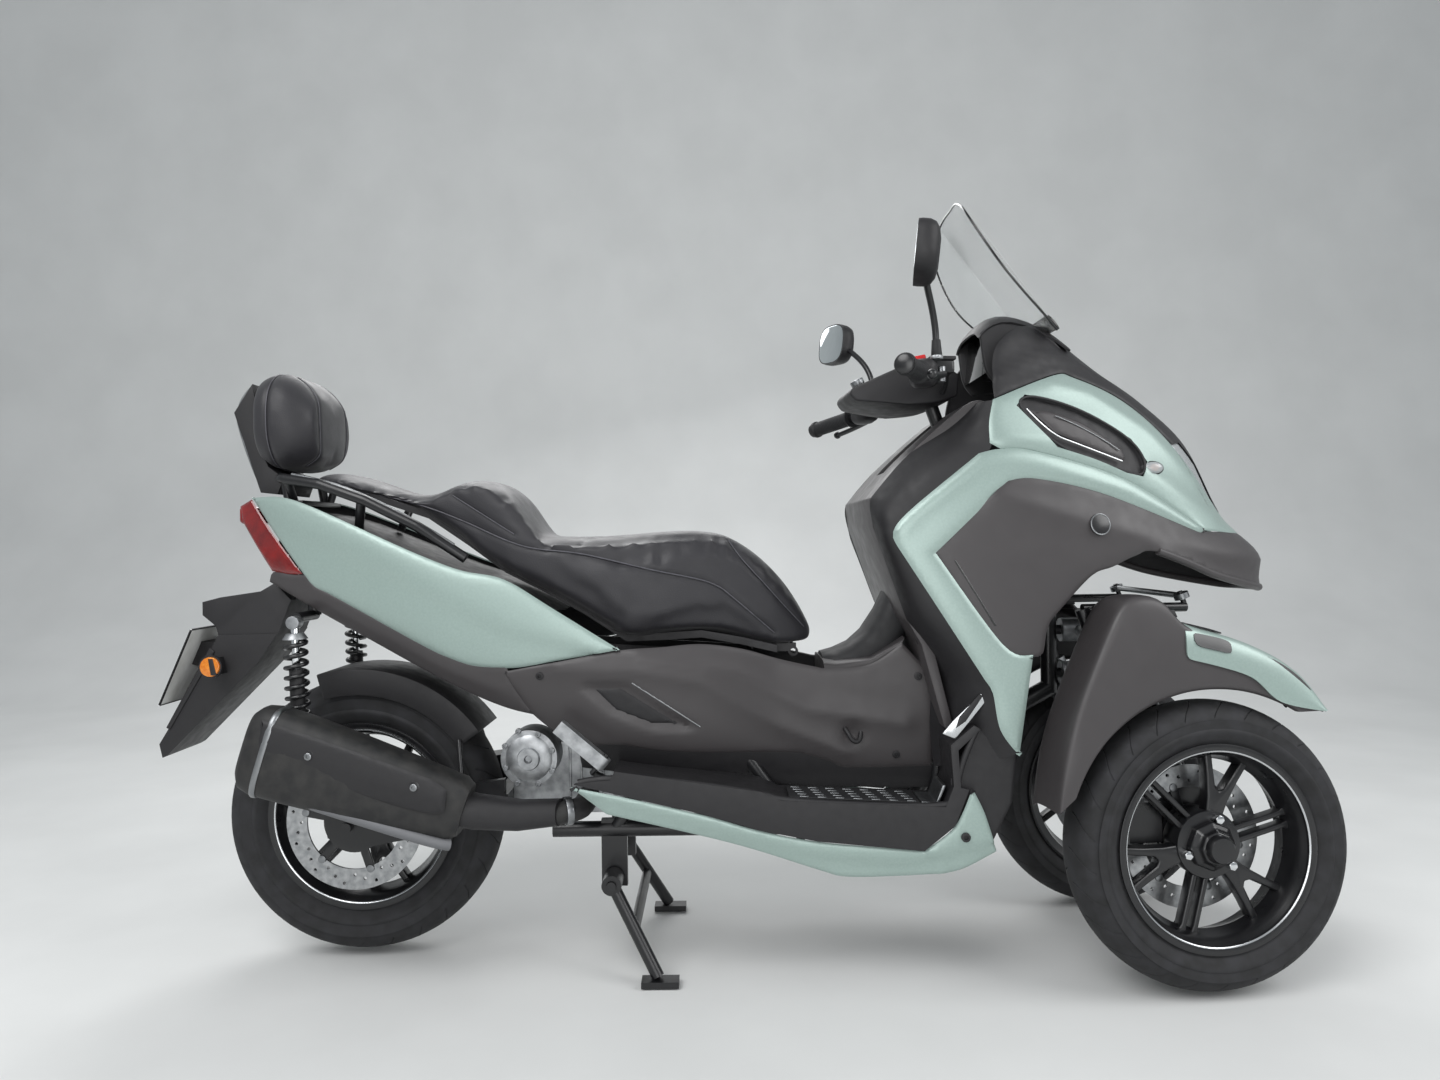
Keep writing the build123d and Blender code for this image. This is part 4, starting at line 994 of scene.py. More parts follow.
hook = tube("hook", [place + normal * out + Vector((x, 0, z)) for x, z, out in
                     [(-0.016, 0.014, 0), (-0.012, 0.01, 0.014), (0, -0.012, 0.016), (0.016, -0.012, 0.012),
                      (0.018, 0.006, 0)]], 0.0045)
details.append(dressed(hook, blackPlastic))
finish(pair("sideCoverPair", join("sideCover", details)), "sideCoverPair", "chassis", "grey_plastic",
       "side_covers")
print("side panels made")

# Floor, lower skirts and inner shield

floorBoard = {
    "lip": [(-290, 388), (-224, 404), (44, 366), (84, 349), (380, 334), (402, 352), (408, 410), (440, 478)],
    "wall": [[(-300, 446), (-223, 450), (-115, 434), (128, 420), (186, 402), (225, 388), (390, 390)],
             [(390, 336)], [(128, 342), (-115, 372), (-300, 388)], [(-300, 446)]],
    "studRows": 7, "studColumns": 5, "rowStep": 33, "slope": 13 / 240,
}
boards = dressed(refined("footboards", 0.004, 3), blackPlastic)
rim = tube("lip", [mm(x, z, -231) for x, z in floorBoard["lip"]], 0.0062, sides=5)
mat = sidePlate("mat", corners([(96, 352.6), (336, 340), (336, 343.4), (96, 356)]), -136, -222, 0.0012)
parts = [dressed(rim, blackPlastic), dressed(mat, softRubber)]
for row in range(floorBoard["studRows"]):  # bright studs in slanted rows
    x = 112 + row * floorBoard["rowStep"]
    z = 356 - (x - 96) * floorBoard["slope"]
    for column in range(floorBoard["studColumns"]):
        stud = block("stud", mm(x + column * 3, z - column * 0.2, -146 - column * 17), (0.017, 0.011, 0.003),
                     Matrix.Rotation(math.radians(3), 4, "Y"), 0.001, 2)
        parts.append(dressed(stud, zincSteel))
edge = sidePlate("edge", corners([(340, 339), (372, 337.4), (386, 372), (380, 372), (368, 341), (340, 342.6)]),
                 -140, -218, 0.001)
wall = panel("innerWall", floorBoard["wall"], rear, [lambda x, z: -2.5], thickness=3, roll=1)
parts += [dressed(edge, zincSteel), dressed(wall, blackPlastic)]
boards = join("footBoards", [boards, pair("mats", join("matSide", parts))])
finish(boards, "footBoards", "chassis", "black_plastic", "footboards")

lowerSkirt = {
    "outline": [[(-302, 381), (-191, 358), (-62, 327), (43, 296), (147, 275), (250, 264), (341, 255)],
                [(398, 300), (430, 370)], [(453, 323), (476, 251)], [(419, 221), (382, 211)],
                [(290, 207), (199, 207), (147, 221), (-10, 272), (-239, 329)], [(-272, 355)], [(-302, 381)]],
    "facet": [(-290, 368), (-60, 304), (140, 247), (300, 232), (376, 244), (448, 262)],
    "turnUp": [(372, 211), (376, 246), (352, 258)],
}
plain = flatForm(234, 0.06, 380)
skirt = panel("lowerSkirt", lowerSkirt["outline"], plain,
              [shelf(lowerSkirt["facet"], 10, 6), crease(lowerSkirt["turnUp"], 16, 3)], thickness=4, roll=3,
              rollWidth=8)
coated(skirt, mintPaint)
screw = dressed(bolt(mm(417, 281, -236.5), (0, -1, 0), 0.0085, 0.005), blackPlastic)
finish(pair("lowerSkirtPair", join("lowerSkirt", [skirt, screw])), "lowerSkirtPair", "chassis", "mint",
       "lower_skirts")

innerShield = {
    "knob": (373, 964),
    "accent": [[(377, 470), (401, 460)], [(470, 544)], [(464, 557)], [(397, 493)], [(377, 470)]],
    "tunnel": [(176, 579, 0, 1), (200, 577, -0.05, 1), (263, 587, -0.4, 0.92), (325, 628, -0.6, 0.8)],
    "saddle": [(178, 598, 0.045, 18, 0, 1), (204, 604, 0.066, 30, 0.2, 0.98), (235, 618, 0.07, 36, 0.5, 0.87),
               (262, 642, 0.07, 40, 0.7, 0.71), (290, 684, 0.066, 40, 0.85, 0.53),
               (316, 740, 0.05, 34, 0.91, 0.42)],
    "apron": [[(398, 330), (394, 384)], [(438, 482)], [(516, 428)], [(506, 340)], [(464, 258)], [(400, 262)],
              [(398, 330)]],
}
core = sidePlate("core", [[(484, 1081), (440, 1078), (330, 985), (256, 903)], [(262, 850)], [(323, 675)],
                          [(350, 628)], [(392, 470)], [(410, 470)], [(372, 628)], [(344, 690)],
                          [(290, 850), (292, 882), (356, 960)], [(452, 1050)], [(478, 1060)]], -184, 184, 0.006)
cutOut(core, corners([(295, 960), (515, 960), (515, 1170), (295, 1170)]), -46, 46)
dressed(core, greyPlastic)
# the side of the shield: from the trim's rear edge inwards to the tunnel
foreLine = openRuns([[(486, 1082), (475, 1040), (474, 992)], [(322, 880), (292, 840)], [(300, 812), (452, 570)],
                     [(467, 546), (484, 478), (512, 431)]], 14)
rearLine = openRuns([[(452, 1078, 150), (330, 985, 184), (257, 903, 190)], [(262, 850, 190), (323, 675, 186)],
                     [(350, 626, 146), (378, 558, 116), (378, 470, 114), (384, 384, 118)]], 14)
rows = []
for column in range(41):
    t = column / 40
    ax, az = foreLine[round(t * (len(foreLine) - 1))]
    bx, bz, by = rearLine[round(t * (len(rearLine) - 1))]
    start, end = laid(front, ax, az, -3), mm(bx, bz, -by)
    bulge = Vector((-0.006, -0.016, 0))
    rows.append([start.lerp(end, spot / 10) + bulge * math.sin(math.pi * spot / 10) for spot in range(11)])
flank = openSheet("flank", rows, 0.004)
centre = mm(*innerShield["knob"], -197)
knobBase = bar("knobBase", centre, centre + Vector((0, -0.006, 0)), 0.021, 40, bevel=0.0015)
knobGrip = block("knobGrip", centre + Vector((0, -0.011, 0)), (0.034, 0.012, 0.011),
                 Matrix.Rotation(math.radians(-35), 4, "Y"), 0.003, 3)
accent = sidePlate("accent", innerShield["accent"], -229, -233, 0.0012)
accentSlot = sidePlate("accentSlot", corners([(402, 480), (420, 492), (452, 538), (446, 542), (408, 500)]),
                       -231, -234.5, 0.0008)
sides = pair("shieldSides", join("shieldSide", [flank, dressed(accent, turnedAlloy)] + [
    dressed(part, blackPlastic) for part in (knobBase, knobGrip, accentSlot)]))
tunnelTop = loft("tunnelTop", [superRing(mm(x, z - 10), 0.1, 0.02, (0, 1, 0), (-s, 0, c), 5)
                               for x, z, s, c in innerShield["tunnel"]])
dressed(tunnelTop, greyPlastic)
# a rubber pad along its middle, rising to the shield
saddle = loft("saddle", [superRing(mm(x + s * deep, z - c * deep), half, deep / 1000, (0, 1, 0), (-s, 0, c), 2.8)
                         for x, z, half, deep, s, c in innerShield["saddle"]])
dressed(saddle, softRubber)
# the front of the floor, closed behind the skirt
apron = panel("apron", innerShield["apron"], flatForm(224), thickness=3, roll=2, rollWidth=6)
aprons = pair("aprons", dressed(apron, blackPlastic))
finish(join("innerShield", [core, sides, tunnelTop, saddle, aprons]), "innerShield", "chassis", "black_plastic",
       "inner_shield")
print("floor and shield made")

# Wheels, built about the Y axis: the outside is towards -Y


# a tyre from bead to bead with a rounded tread, a raised ring on its walls and sipes cut across
def tyre(name, radius, width, grooves):
    half, bead = width / 2, width * 0.36
    profile = [(0.178, -bead), (0.187, -bead), (0.192, -bead - 0.004), (0.206, -half + 0.002),
               (0.2105, -half + 0.0005), (0.213, -half + 0.0005), (0.2165, -half + 0.003),
               ((0.187 + radius) / 2 + 0.006, -half)]
    arc = 22
    for number in range(arc + 1):
        angle = math.pi * number / arc
        profile.append((radius - 0.05 + 0.05 * math.sin(angle) ** 0.72, -half * 0.96 * math.cos(angle)))
    profile += [(r, -y) for r, y in reversed(profile[:8])]
    profile += [(0.182, bead - 0.01), (0.182, -bead + 0.01)]
    body = lathe(name, profile, 96)
    dressed(body, tyreRubber)
    lines = []  # the sipes: thin curved grooves, one each way, copied round
    for number in range(grooves):
        for side in (-1, 1):
            angle = 2 * math.pi * (number + (0.5 if side > 0 else 0)) / grooves
            line = []
            for spot in range(7):
                t = spot / 6
                across = side * half * (0.1 + 0.8 * t)
                lift = radius - 0.05 + 0.05 * max(0, 1 - (across / (half * 0.96)) ** 2) ** 0.36
                around = angle + side * 0.02 + 0.16 * t ** 1.6
                line.append(Vector((math.cos(around) * lift, across, math.sin(around) * lift)))
            lines.append(line)
    return cutSipes(body, lines)


# cuts V grooves along lines on the tread
def cutSipes(body, lines, depth=0.0034, width=0.0021):
    solids = []
    for line in lines:
        bpy.ops.mesh.primitive_grid_add(x_subdivisions=len(line) - 1, y_subdivisions=3)
        cutter = bpy.context.object
        for number, vertex in enumerate(cutter.data.vertices):
            row, spot = divmod(number, len(line))
            point = line[spot]
            radial = Vector((point.x, 0, point.z)).normalized()
            ahead = (line[min(spot + 1, len(line) - 1)] - line[max(spot - 1, 0)]).normalized()
            sideways = ahead.cross(radial).normalized()
            offset = [(-width, 0.003), (0, -depth), (width, 0.003), (-width, 0.003)][row]
            vertex.co = point + sideways * offset[0] + radial * offset[1]
        bpy.ops.object.mode_set(mode="EDIT")
        bpy.ops.mesh.select_all(action="SELECT")
        bpy.ops.mesh.remove_doubles(threshold=0.00001)
        bpy.ops.mesh.fill_holes(sides=0)
        bpy.ops.mesh.normals_make_consistent(inside=False)
        bpy.ops.object.mode_set(mode="OBJECT")
        solids.append(cutter)
    cutter = join("sipes", solids)
    modify(body, "BOOLEAN", object=cutter, operation="DIFFERENCE", solver="EXACT")
    bpy.data.objects.remove(cutter)
    return smooth(body, 40)


# barrel with stepped flanges, hub, three forked and three double spokes
def castRim(name, width, vAngles, barAngles):
    half = width * 0.36
    barrel = lathe(name, [(0.187, -half - 0.006), (0.1865, -half - 0.0005), (0.178, -half + 0.002), (0.178, 0),
                          (0.178, half - 0.002), (0.1865, half + 0.0005), (0.187, half + 0.006),
                          (0.183, half + 0.007), (0.176, half + 0.003), (0.168, half), (0.162, half - 0.024),
                          (0.154, 0), (0.162, -half + 0.024), (0.166, -half + 0.006), (0.171, -half + 0.001),
                          (0.172, -half - 0.004), (0.181, -half - 0.0075)], 96)
    dressed(barrel, rimBlack)
    lip = lathe("lip", [(0.1722, -half - 0.0046), (0.1735, -half - 0.0056), (0.1748, -half - 0.006),
                        (0.1745, -half - 0.0042), (0.1728, -half - 0.003)], 96)
    dressed(lip, turnedAlloy)
    parts = [barrel, lip]
    for angle in vAngles:  # two arms that join in a U near the hub
        ring = Matrix.Rotation(math.radians(-angle), 4, "Y")
        arm = plate("arm", [Vector((r, -0.014, t)) for r, t in
                            [(0.052, -0.016), (0.084, -0.0205), (0.122, -0.031), (0.168, -0.047), (0.171, -0.033),
                             (0.132, -0.019), (0.104, -0.0085), (0.098, 0), (0.104, 0.0085), (0.132, 0.019),
                             (0.171, 0.033), (0.168, 0.047), (0.122, 0.031), (0.084, 0.0205), (0.052, 0.016)]],
                    (0, 0.028, 0), 0.0045, 4)
        moved(arm, ring)
        parts.append(arm)
    for angle in barAngles:  # two straight bars with a foot at the rim
        ring = Matrix.Rotation(math.radians(-angle), 4, "Y")
        for side in (-1, 1):
            spoke = plate("bar", [Vector((r, -0.0125, t * side)) for r, t in
                                  [(0.05, 0.0065), (0.148, 0.0065), (0.163, 0.004), (0.17, 0.004), (0.17, 0.025),
                                   (0.162, 0.0215), (0.15, 0.0165), (0.05, 0.0165)][::side]],
                          (0, 0.025, 0), 0.003, 3)
            moved(spoke, ring)
            parts.append(spoke)
    hub = lathe("hub", [(0.0, -0.018), (0.0, 0.04), (0.056, 0.04), (0.06, 0.02), (0.062, -0.012), (0.06, -0.016),
                        (0.05, -0.018)], 48)
    parts.append(hub)
    return parts[:2] + [dressed(part, rimBlack) for part in parts[2:]]


# a drilled brake disc on a carrier, with bobbins
def disc(name, y, radius):
    ring = lathe(name, [(0.093, y - 0.0022), (radius, y - 0.0022), (radius, y + 0.0022), (0.093, y + 0.0022)], 96)
    dressed(ring, discSteel)
    drills = []
    for number in range(36):
        angle = 2 * math.pi * number / 36
        reach = (0.104, 0.113, 0.122)[number % 3]
        bpy.ops.mesh.primitive_cylinder_add(vertices=10, radius=0.0034, depth=0.02,
                                            location=(math.cos(angle) * reach, y, math.sin(angle) * reach),
                                            rotation=(math.pi / 2, 0, 0))
        drills.append(settle(bpy.context.object))
    cutter = join("drills", drills)
    modify(ring, "BOOLEAN", object=cutter, operation="DIFFERENCE", solver="EXACT")
    bpy.data.objects.remove(cutter)
    carrier = lathe("carrier", [(0.036, y - 0.003), (0.06, y - 0.003), (0.06, y + 0.003), (0.036, y + 0.003)], 48)
    parts = [smooth(ring, 40), dressed(carrier, rimBlack)]
    for number in range(6):
        ring = Matrix.Rotation(2 * math.pi * number / 6 + 0.2, 4, "Y")
        arm = block("arm", (0.077, y, 0), (0.04, 0.0056, 0.017), bevel=0.0016)
        bobbin = bar("bobbin", (0.097, y - 0.005, 0), (0.097, y + 0.005, 0), 0.0075, 20)
        parts += [moved(dressed(arm, rimBlack), ring), moved(dressed(bobbin, zincSteel), ring)]
    return parts


# a faceted hub cover with a round cap, and chrome nuts round it
def hubDress(y, nuts, angleOf):
    cover = lathe("hubCover", [(0.0, y - 0.03), (0.0, y + 0.01), (0.046, y + 0.01), (0.045, y - 0.012),
                               (0.034, y - 0.02), (0.03, y - 0.03)], 8)
    smooth(cover, 20)
    modify(cover, "BEVEL", width=0.003, segments=3, limit_method="ANGLE", angle_limit=math.radians(20))
    cap = lathe("hubCap", [(0.0, y - 0.044), (0.0, y - 0.02), (0.026, y - 0.02), (0.0265, y - 0.036),
                           (0.022, y - 0.043)], 40)
    parts = [dressed(cover, rimBlack), dressed(cap, rimBlack)]
    for number in range(nuts):
        ring = Matrix.Rotation(math.radians(angleOf + 360 / nuts * number), 4, "Y")
        nut = bar("nut", (0.05, y - 0.016, 0), (0.05, y + 0.002, 0), 0.0085, 6, bevel=0.0012)
        parts.append(moved(dressed(nut, chrome), ring))
    return parts


def wheel(name, size):
    rubber = tyre(name + "Tyre", size["radius"], size["tyreWidth"], size["grooves"])
    metal = join(name + "Rim", castRim("barrel", size["rimWidth"], size["arms"], size["bars"])
                 + disc("disc", size["disc"], size["discRadius"]) + hubDress(-0.018, 3, size["nuts"]))
    return rubber, metal


frontWheel = {"radius": 0.2615, "tyreWidth": 0.118, "grooves": 26, "rimWidth": 0.12, "arms": (75, 195, 315),
              "bars": (15, 135, 255), "disc": 0.046, "discRadius": 0.1335, "nuts": 45}
frontTyre, frontRim = wheel("front", frontWheel)
for side, name in ((-1, "right"), (1, "left")):
    joint = joints[name + "_wheel_spin"]
    pivot = Vector(joint["pos_m"] if "pos_m" in joint else joint["pos"])
    place = Matrix.Translation(pivot) @ Matrix.Rotation(parkedSteer, 4, leanAxis)
    for made, label, slot, node in ((frontTyre, "FrontTyre", "tyre", "_front_tyre"),
                                    (frontRim, "FrontRim", "rim_black", "_front_rim")):
        twin = copyOf(made) if side < 0 else mirrored(made)
        finish(moved(twin, place), name + label, name + "_wheel", slot, name + node)
bpy.data.objects.remove(frontTyre)
bpy.data.objects.remove(frontRim)

rearWheel = {"radius": 0.2755, "tyreWidth": 0.138, "grooves": 26, "rimWidth": 0.14, "arms": (45, 165, 285),
             "bars": (105, 225, 345), "disc": -0.092, "discRadius": 0.1335, "nuts": 75}
rearTyre, rearRim = wheel("rear", rearWheel)
rearAxle = Matrix.Translation(mm(-750, 284))
finish(moved(rearTyre, rearAxle), "rearTyre", "rear_wheel", "tyre", "rear_tyre")
finish(moved(rearRim, rearAxle), "rearRim", "rear_wheel", "rim_black", "rear_rim")
print("wheels made")

# Front mudguards: an arch with a box over the fork, and a painted blade on top

mudguard = {
    "axle": (845, 262), "archRadius": 285,
    "tops": [(545, 337), (551, 392), (562, 452), (582, 514), (612, 582), (643, 650), (674, 714), (714, 718),
             (755, 712), (780, 666), (826, 650), (870, 638), (915, 623), (958, 603), (995, 579), (1026, 550),
             (1054, 504)],
    "angles": [158.5, 153, 146, 139, 131, 122, 115, 109, 103, 98, 91, 83, 76, 69, 62, 59, 57.5],
    "ridges": [0, 3, 6, 2, 0, 2, 6, 7, 5, 1, 0, 0, 0, 0, 0, 0, 0],
    "seam": [(787, 603), (865, 583), (916, 563), (961, 522), (1046, 503)],
    "blade": [(788, 664), (826, 651), (870, 639), (915, 624), (958, 604), (995, 580), (1026, 551), (1056, 505)],
}
rows = []
for (x, z), angle, ridge in zip(mudguard["tops"], mudguard["angles"], mudguard["ridges"]):
    ax = mudguard["axle"][0] + mudguard["archRadius"] * math.cos(math.radians(angle))
    az = mudguard["axle"][1] + mudguard["archRadius"] * math.sin(math.radians(angle))
    row = [mm(ax, az, -284)]
    for u in (0.04, 0.2, 0.4, 0.6, 0.8, 0.93):
        row.append(mm(ax + (x - ax) * u, az + (z - az) * u, -293 - ridge * math.sin(math.pi * u)))
    row += [mm(x, z - 2, -286), mm(x, z + 1, -268), mm(x, z + 2, -238), mm(x, z + 1, -206), mm(x, z - 2, -186),
            mm(x, z - 14, -180)]
    rows.append(row)
guard = coated(openSheet("guard", rows, 0.004, 2), greyPlastic)
bladeRows = []
seamLine = openRuns([mudguard["seam"]], 20)
topLine = openRuns([mudguard["blade"]], 20)
for step in range(15):
    t = step / 14
    sx, sz = seamLine[round(t * (len(seamLine) - 1))]
    x, z = topLine[round(t * (len(topLine) - 1))]
    bladeRows.append([mm(sx, sz, -297.5), mm(sx + (x - sx) * 0.35, sz + (z - sz) * 0.35, -299),
                      mm(sx + (x - sx) * 0.75, sz + (z - sz) * 0.75, -296), mm(x, z + 0.5, -288),
                      mm(x, z + 4, -270), mm(x, z + 5, -238), mm(x, z + 4, -206), mm(x, z, -186),
                      mm(x, z - 10, -180)])
blade = coated(openSheet("blade", bladeRows, 0.004, 2), mintPaint)
patchRows = [[mm(x, z + 6.2, y) for y in (-262, -250, -226, -214)] for x, z in
             [(802, 658), (826, 651.5), (850, 646), (880, 636.5)]]
patch = dressed(openSheet("patch", patchRows, 0.002, 1), rimBlack)
sidePatch = dressed(openSheet("sidePatch", [[mm(x, z - d, y) for d, y in ((2, -293), (10, -297), (26, -300.5))]
                                            for x, z in [(802, 652), (826, 646), (850, 641), (872, 634)]],
                              0.002, 1), rimBlack)
underStrip = dressed(sidePlate("underStrip", corners([(674, 690), (770, 690), (776, 676), (668, 676)]), -180,
                               -292, 0.002), blackPlastic)
guardRight = join("guard", [guard, blade, patch, sidePatch, underStrip])
guardLeft = mirrored(guardRight)
for piece, side, name in ((guardRight, -1, "right"), (guardLeft, 1, "left")):
    foot = mm(913, 0, side * 158)
    moved(piece, Matrix.Translation(foot) @ Matrix.Rotation(parkedSteer, 4, leanAxis)
          @ Matrix.Translation(-foot))
    finish(piece, name + "Mudguard", name + "_fork", "grey_plastic", name + "_front_mudguard")

# Muffler: a lofted can with a heat guard, a faceted end and a guard bar

muffler = {
    "across": (0, 1, 0), "up": (0.3, 0, 0.95),
    "stations": [(-883, -242, 470, 36, 62), (-874, -242, 465, 45, 76), (-850, -242, 457, 50, 82),
                 (-790, -241, 438, 52, 80), (-690, -240, 405, 51, 73), (-590, -238, 373, 48, 64),
                 (-510, -236, 347, 44, 56), (-494, -236, 342, 36, 46)],
    "guardBolts": [(-758, 455), (-572, 398)],
}
can = dressed(loft("can", [superRing(mm(x, z, y), a / 1000, u / 1000, muffler["across"], muffler["up"], 3.6, 48)
                           for x, y, z, a, u in muffler["stations"]]), heatPaint)
capRing = dressed(loft("capRing", [superRing(mm(x, z, -242), a, u, muffler["across"], muffler["up"], 3.6, 48)
                                   for x, z, a, u in [(-848, 456, 0.0512, 0.083), (-846, 455.5, 0.0522, 0.084),
                                                      (-840, 454, 0.0522, 0.084), (-838, 453, 0.0512, 0.0825)]]),
                  zincSteel)
guardPlate = panel("heatGuard", [[(-842, 520), (-700, 470), (-540, 410)], [(-515, 392)], [(-520, 352)],
                                 [(-560, 352), (-700, 392), (-836, 436)], [(-850, 470), (-842, 520)]],
                   flatForm(291), [crease([(-840, 480), (-690, 428), (-530, 376)], 30, 3)],
                   thickness=3, roll=4, rollWidth=10)
dressed(guardPlate, blackPlastic)
parts = [can, capRing, guardPlate]
for x, z in muffler["guardBolts"]:
    well = bar("well", mm(x, z, -289), mm(x, z, -292.5), 0.0105, 32, bevel=0.001)
    parts += [dressed(well, rimBlack), dressed(bolt(mm(x, z, -293.6), (0, -1, 0), 0.0065), zincSteel)]
guardBar = tube("guardBar", [mm(-846, 397, -262), mm(-840, 393, -272), mm(-700, 345, -272), mm(-535, 290, -268),
                             mm(-520, 286, -258)], 0.011, sides=6)
parts.append(dressed(guardBar, greyNylon))
outlet = bar("outlet", mm(-870, 448, -242), mm(-893, 455, -242), 0.02, 40, bevel=0.002)
parts.append(dressed(outlet, rimBlack))
pipe = tube("pipe", [mm(-510, 344, -234), mm(-470, 331, -226), mm(-430, 320, -216), mm(-350, 320, -196),
                     mm(-300, 325, -180), mm(-290, 326, -150), mm(-290, 326, -80)], 0.021, sides=8)
parts.append(dressed(pipe, heatPaint))
shroud = loft("shroud", [superRing(mm(x, z, y), a, a * 0.95, (0.2, 1, 0), (0, 0, 1), 2.6, 32)
                         for x, y, z, a in [(-500, -233, 346, 0.034), (-480, -230, 338, 0.033),
                                            (-400, -211, 325, 0.029), (-330, -194, 325, 0.0255)]])
parts.append(dressed(shroud, blackPlastic))
clamp = bar("clamp", mm(-322, 325, -189), mm(-310, 325.5, -184), 0.0265, 32, bevel=0.001)
parts.append(dressed(clamp, zincSteel))
finish(join("muffler", parts), "exhaustMuffler", "chassis", "frame_black", "muffler")

# Rear shocks: coil springs round dark bodies

springs = {"low": (-829, 452), "top": (-836, 680), "coils": 8.5, "radius": 0.0195, "wire": 0.0042}
low, top = mm(*springs["low"], -158), mm(*springs["top"], -158)
helix = []
for number in range(int(springs["coils"] * 16) + 1):
    t = number / (springs["coils"] * 16)
    angle = 2 * math.pi * springs["coils"] * t
    around = Vector((math.cos(angle), math.sin(angle), 0))
    helix.append(low.lerp(top, 0.16 + 0.72 * t) + around * springs["radius"])
spring = dressed(tube("spring", helix, springs["wire"], resolution=3, sides=3), rimBlack)
body = dressed(bar("damper", low, low.lerp(top, 0.62), 0.0135, 32), blackPlastic)
stem = dressed(bar("stem", low.lerp(top, 0.6), top, 0.0075, 24), chrome)
lowCup = dressed(bar("lowCup", low.lerp(top, 0.1), low.lerp(top, 0.16), 0.0235, 40), rimBlack)
topCup = dressed(bar("topCup", low.lerp(top, 0.87), low.lerp(top, 0.92), 0.0235, 40, tip=0.016), castAlloy)
eyes = [dressed(bar("eye", point + Vector((0, -0.012, 0)), point + Vector((0, 0.012, 0)), 0.0125, 32), castAlloy)
        for point in (low, top + Vector((0, 0, 0.002)))]
shock = join("shock", [spring, body, stem, lowCup, topCup] + eyes)
finish(pair("rearShockPair", shock), "rearShockPair", "chassis", "frame_black", "rear_shocks")

# Engine: crankcase, belt cover, a boss, bolts and ribs

engine = {"bolts": [(-441, 440), (-415, 468), (-377, 462), (-351, 430), (-351, 392), (-378, 366), (-418, 368),
                    (-440, 398)]}
caseBlock = dressed(refined("engine_block", 0.008, 4), castAlloy)
boss = lathe("boss", [(0.0, 0.0), (0.0, 0.012), (0.046, 0.012), (0.046, 0.002), (0.04, -0.003), (0.022, -0.003),
                      (0.02, -0.009), (0.008, -0.009), (0.006, 0.0)], 48)
moved(boss, Matrix.Translation(mm(-396, 415, -146)))
dressed(boss, castAlloy)
parts = [caseBlock, boss]
for x, z in engine["bolts"]:
    parts.append(dressed(bolt(mm(x, z, -147), (0, -1, 0), 0.0055, 0.006), zincSteel))
for number in range(5):
    rib = sidePlate("rib", corners([(-330 + number * 22, 300), (-325 + number * 22, 300),
                                    (-325 + number * 22, 425), (-330 + number * 22, 425)]), -72, -79, 0.0012)
    parts.append(dressed(rib, castAlloy))
finish(join("engineBlock", parts), "engineCase", "chassis", "cast_alloy", "engine_block")
print("rear gear made")

# Plate, its holder and reflectors

holder = dressed(refined("plate_holder", 0.003, 3), blackPlastic)
amber = bar("amber", mm(-1020, 594, -104), mm(-1020, 594, -117.5), 0.0195, 48, bevel=0.003)
amberRing = lathe("amberRing", [(0.0195, 0), (0.0225, 0), (0.0225, 0.008), (0.0195, 0.008)], 48)
moved(amberRing, Matrix.Translation(mm(-1020, 594, -114)))
lampUnit = block("plateLamp", mm(-1050, 700, 0), (0.034, 0.07, 0.022), Matrix.Rotation(math.radians(12), 4, "Y"),
                 0.005)
amberSide = join("amberSide", [dressed(amber, amberLens), dressed(amberRing, blackPlastic)])
flapRidge = sidePlate("flapRidge", corners([(-1040, 628), (-1128, 470), (-1121, 466), (-1030, 620)]), -73.2,
                      -76.5, 0.001)
ridges = pair("ridges", dressed(flapRidge, blackPlastic))
finish(join("plateHolder", [holder, pair("ambers", amberSide), dressed(lampUnit, blackPlastic), ridges]),
       "plateHolder", "chassis", "black_plastic", "plate_holder")
blankPlate = {"centre": mm(-1096, 592), "tilt": 23.5, "width": 0.199, "height": 0.162, "rim": 0.0028}
plateBody = dressed(refined("number_plate", 0.0006, 2), plateEnamel)
tilt = Matrix.Rotation(math.radians(blankPlate["tilt"]), 4, "Y")
trims = []
for side in (-1, 1):
    trims.append(block("rimSide", blankPlate["centre"] + Vector((0, side * 0.0986, 0)),
                       (0.0042, blankPlate["rim"], blankPlate["height"]), tilt, 0.001))
    trims.append(block("rimEdge", blankPlate["centre"] + tilt @ Vector((0, 0, side * 0.0801)),
                       (0.0042, blankPlate["width"], blankPlate["rim"]), tilt, 0.001))
    trims.append(bolt(blankPlate["centre"] + tilt @ Vector((-0.0022, side * 0.07, 0.062)),
                      tilt @ Vector((-1, 0, 0)), 0.005, 0.003))
finish(join("numberPlate", [plateBody] + [dressed(part, blackPlastic) for part in trims]), "blankPlate",
       "chassis", "plate_white", "number_plate")

# Rail, backrest frame and hugger

railing = dressed(refined("grab_rail", 0.002, 2, 40), frameBlack)
# thin bright zinc strips along the top of the black rail: a painted highlight
railHighlightStrips = [dressed(tube("railHighlightStrip", [mm(x, z + 9.6, side * y) for x, y, z in
                                 [(-850, 128, 956), (-790, 148, 945), (-700, 161, 913), (-600, 162, 862),
                                  (-530, 162, 816)]], 0.0034, sides=3), zincSteel) for side in (-1, 1)]
finish(join("grabRail", [railing] + railHighlightStrips), "grabRail", "chassis", "frame_black", "grab_rail")
stay = dressed(refined("backrest_frame", 0.007, 4), blackPlastic)
edgeLine = [(-906, 934), (-934, 944), (-981, 1090), (-950, 1144)]
stayEdges = [dressed(tube("stayEdge", [mm(x, z, side * 73) for x, z in openRuns([edgeLine], 25)], 0.0028,
                          sides=3), zincSteel) for side in (-1, 1)]
finish(join("backrestStay", [stay] + stayEdges), "backrestStay", "chassis", "frame_black", "backrest_frame")
hugger = dressed(refined("rear_mudguard", 0.0015, 2), blackPlastic)
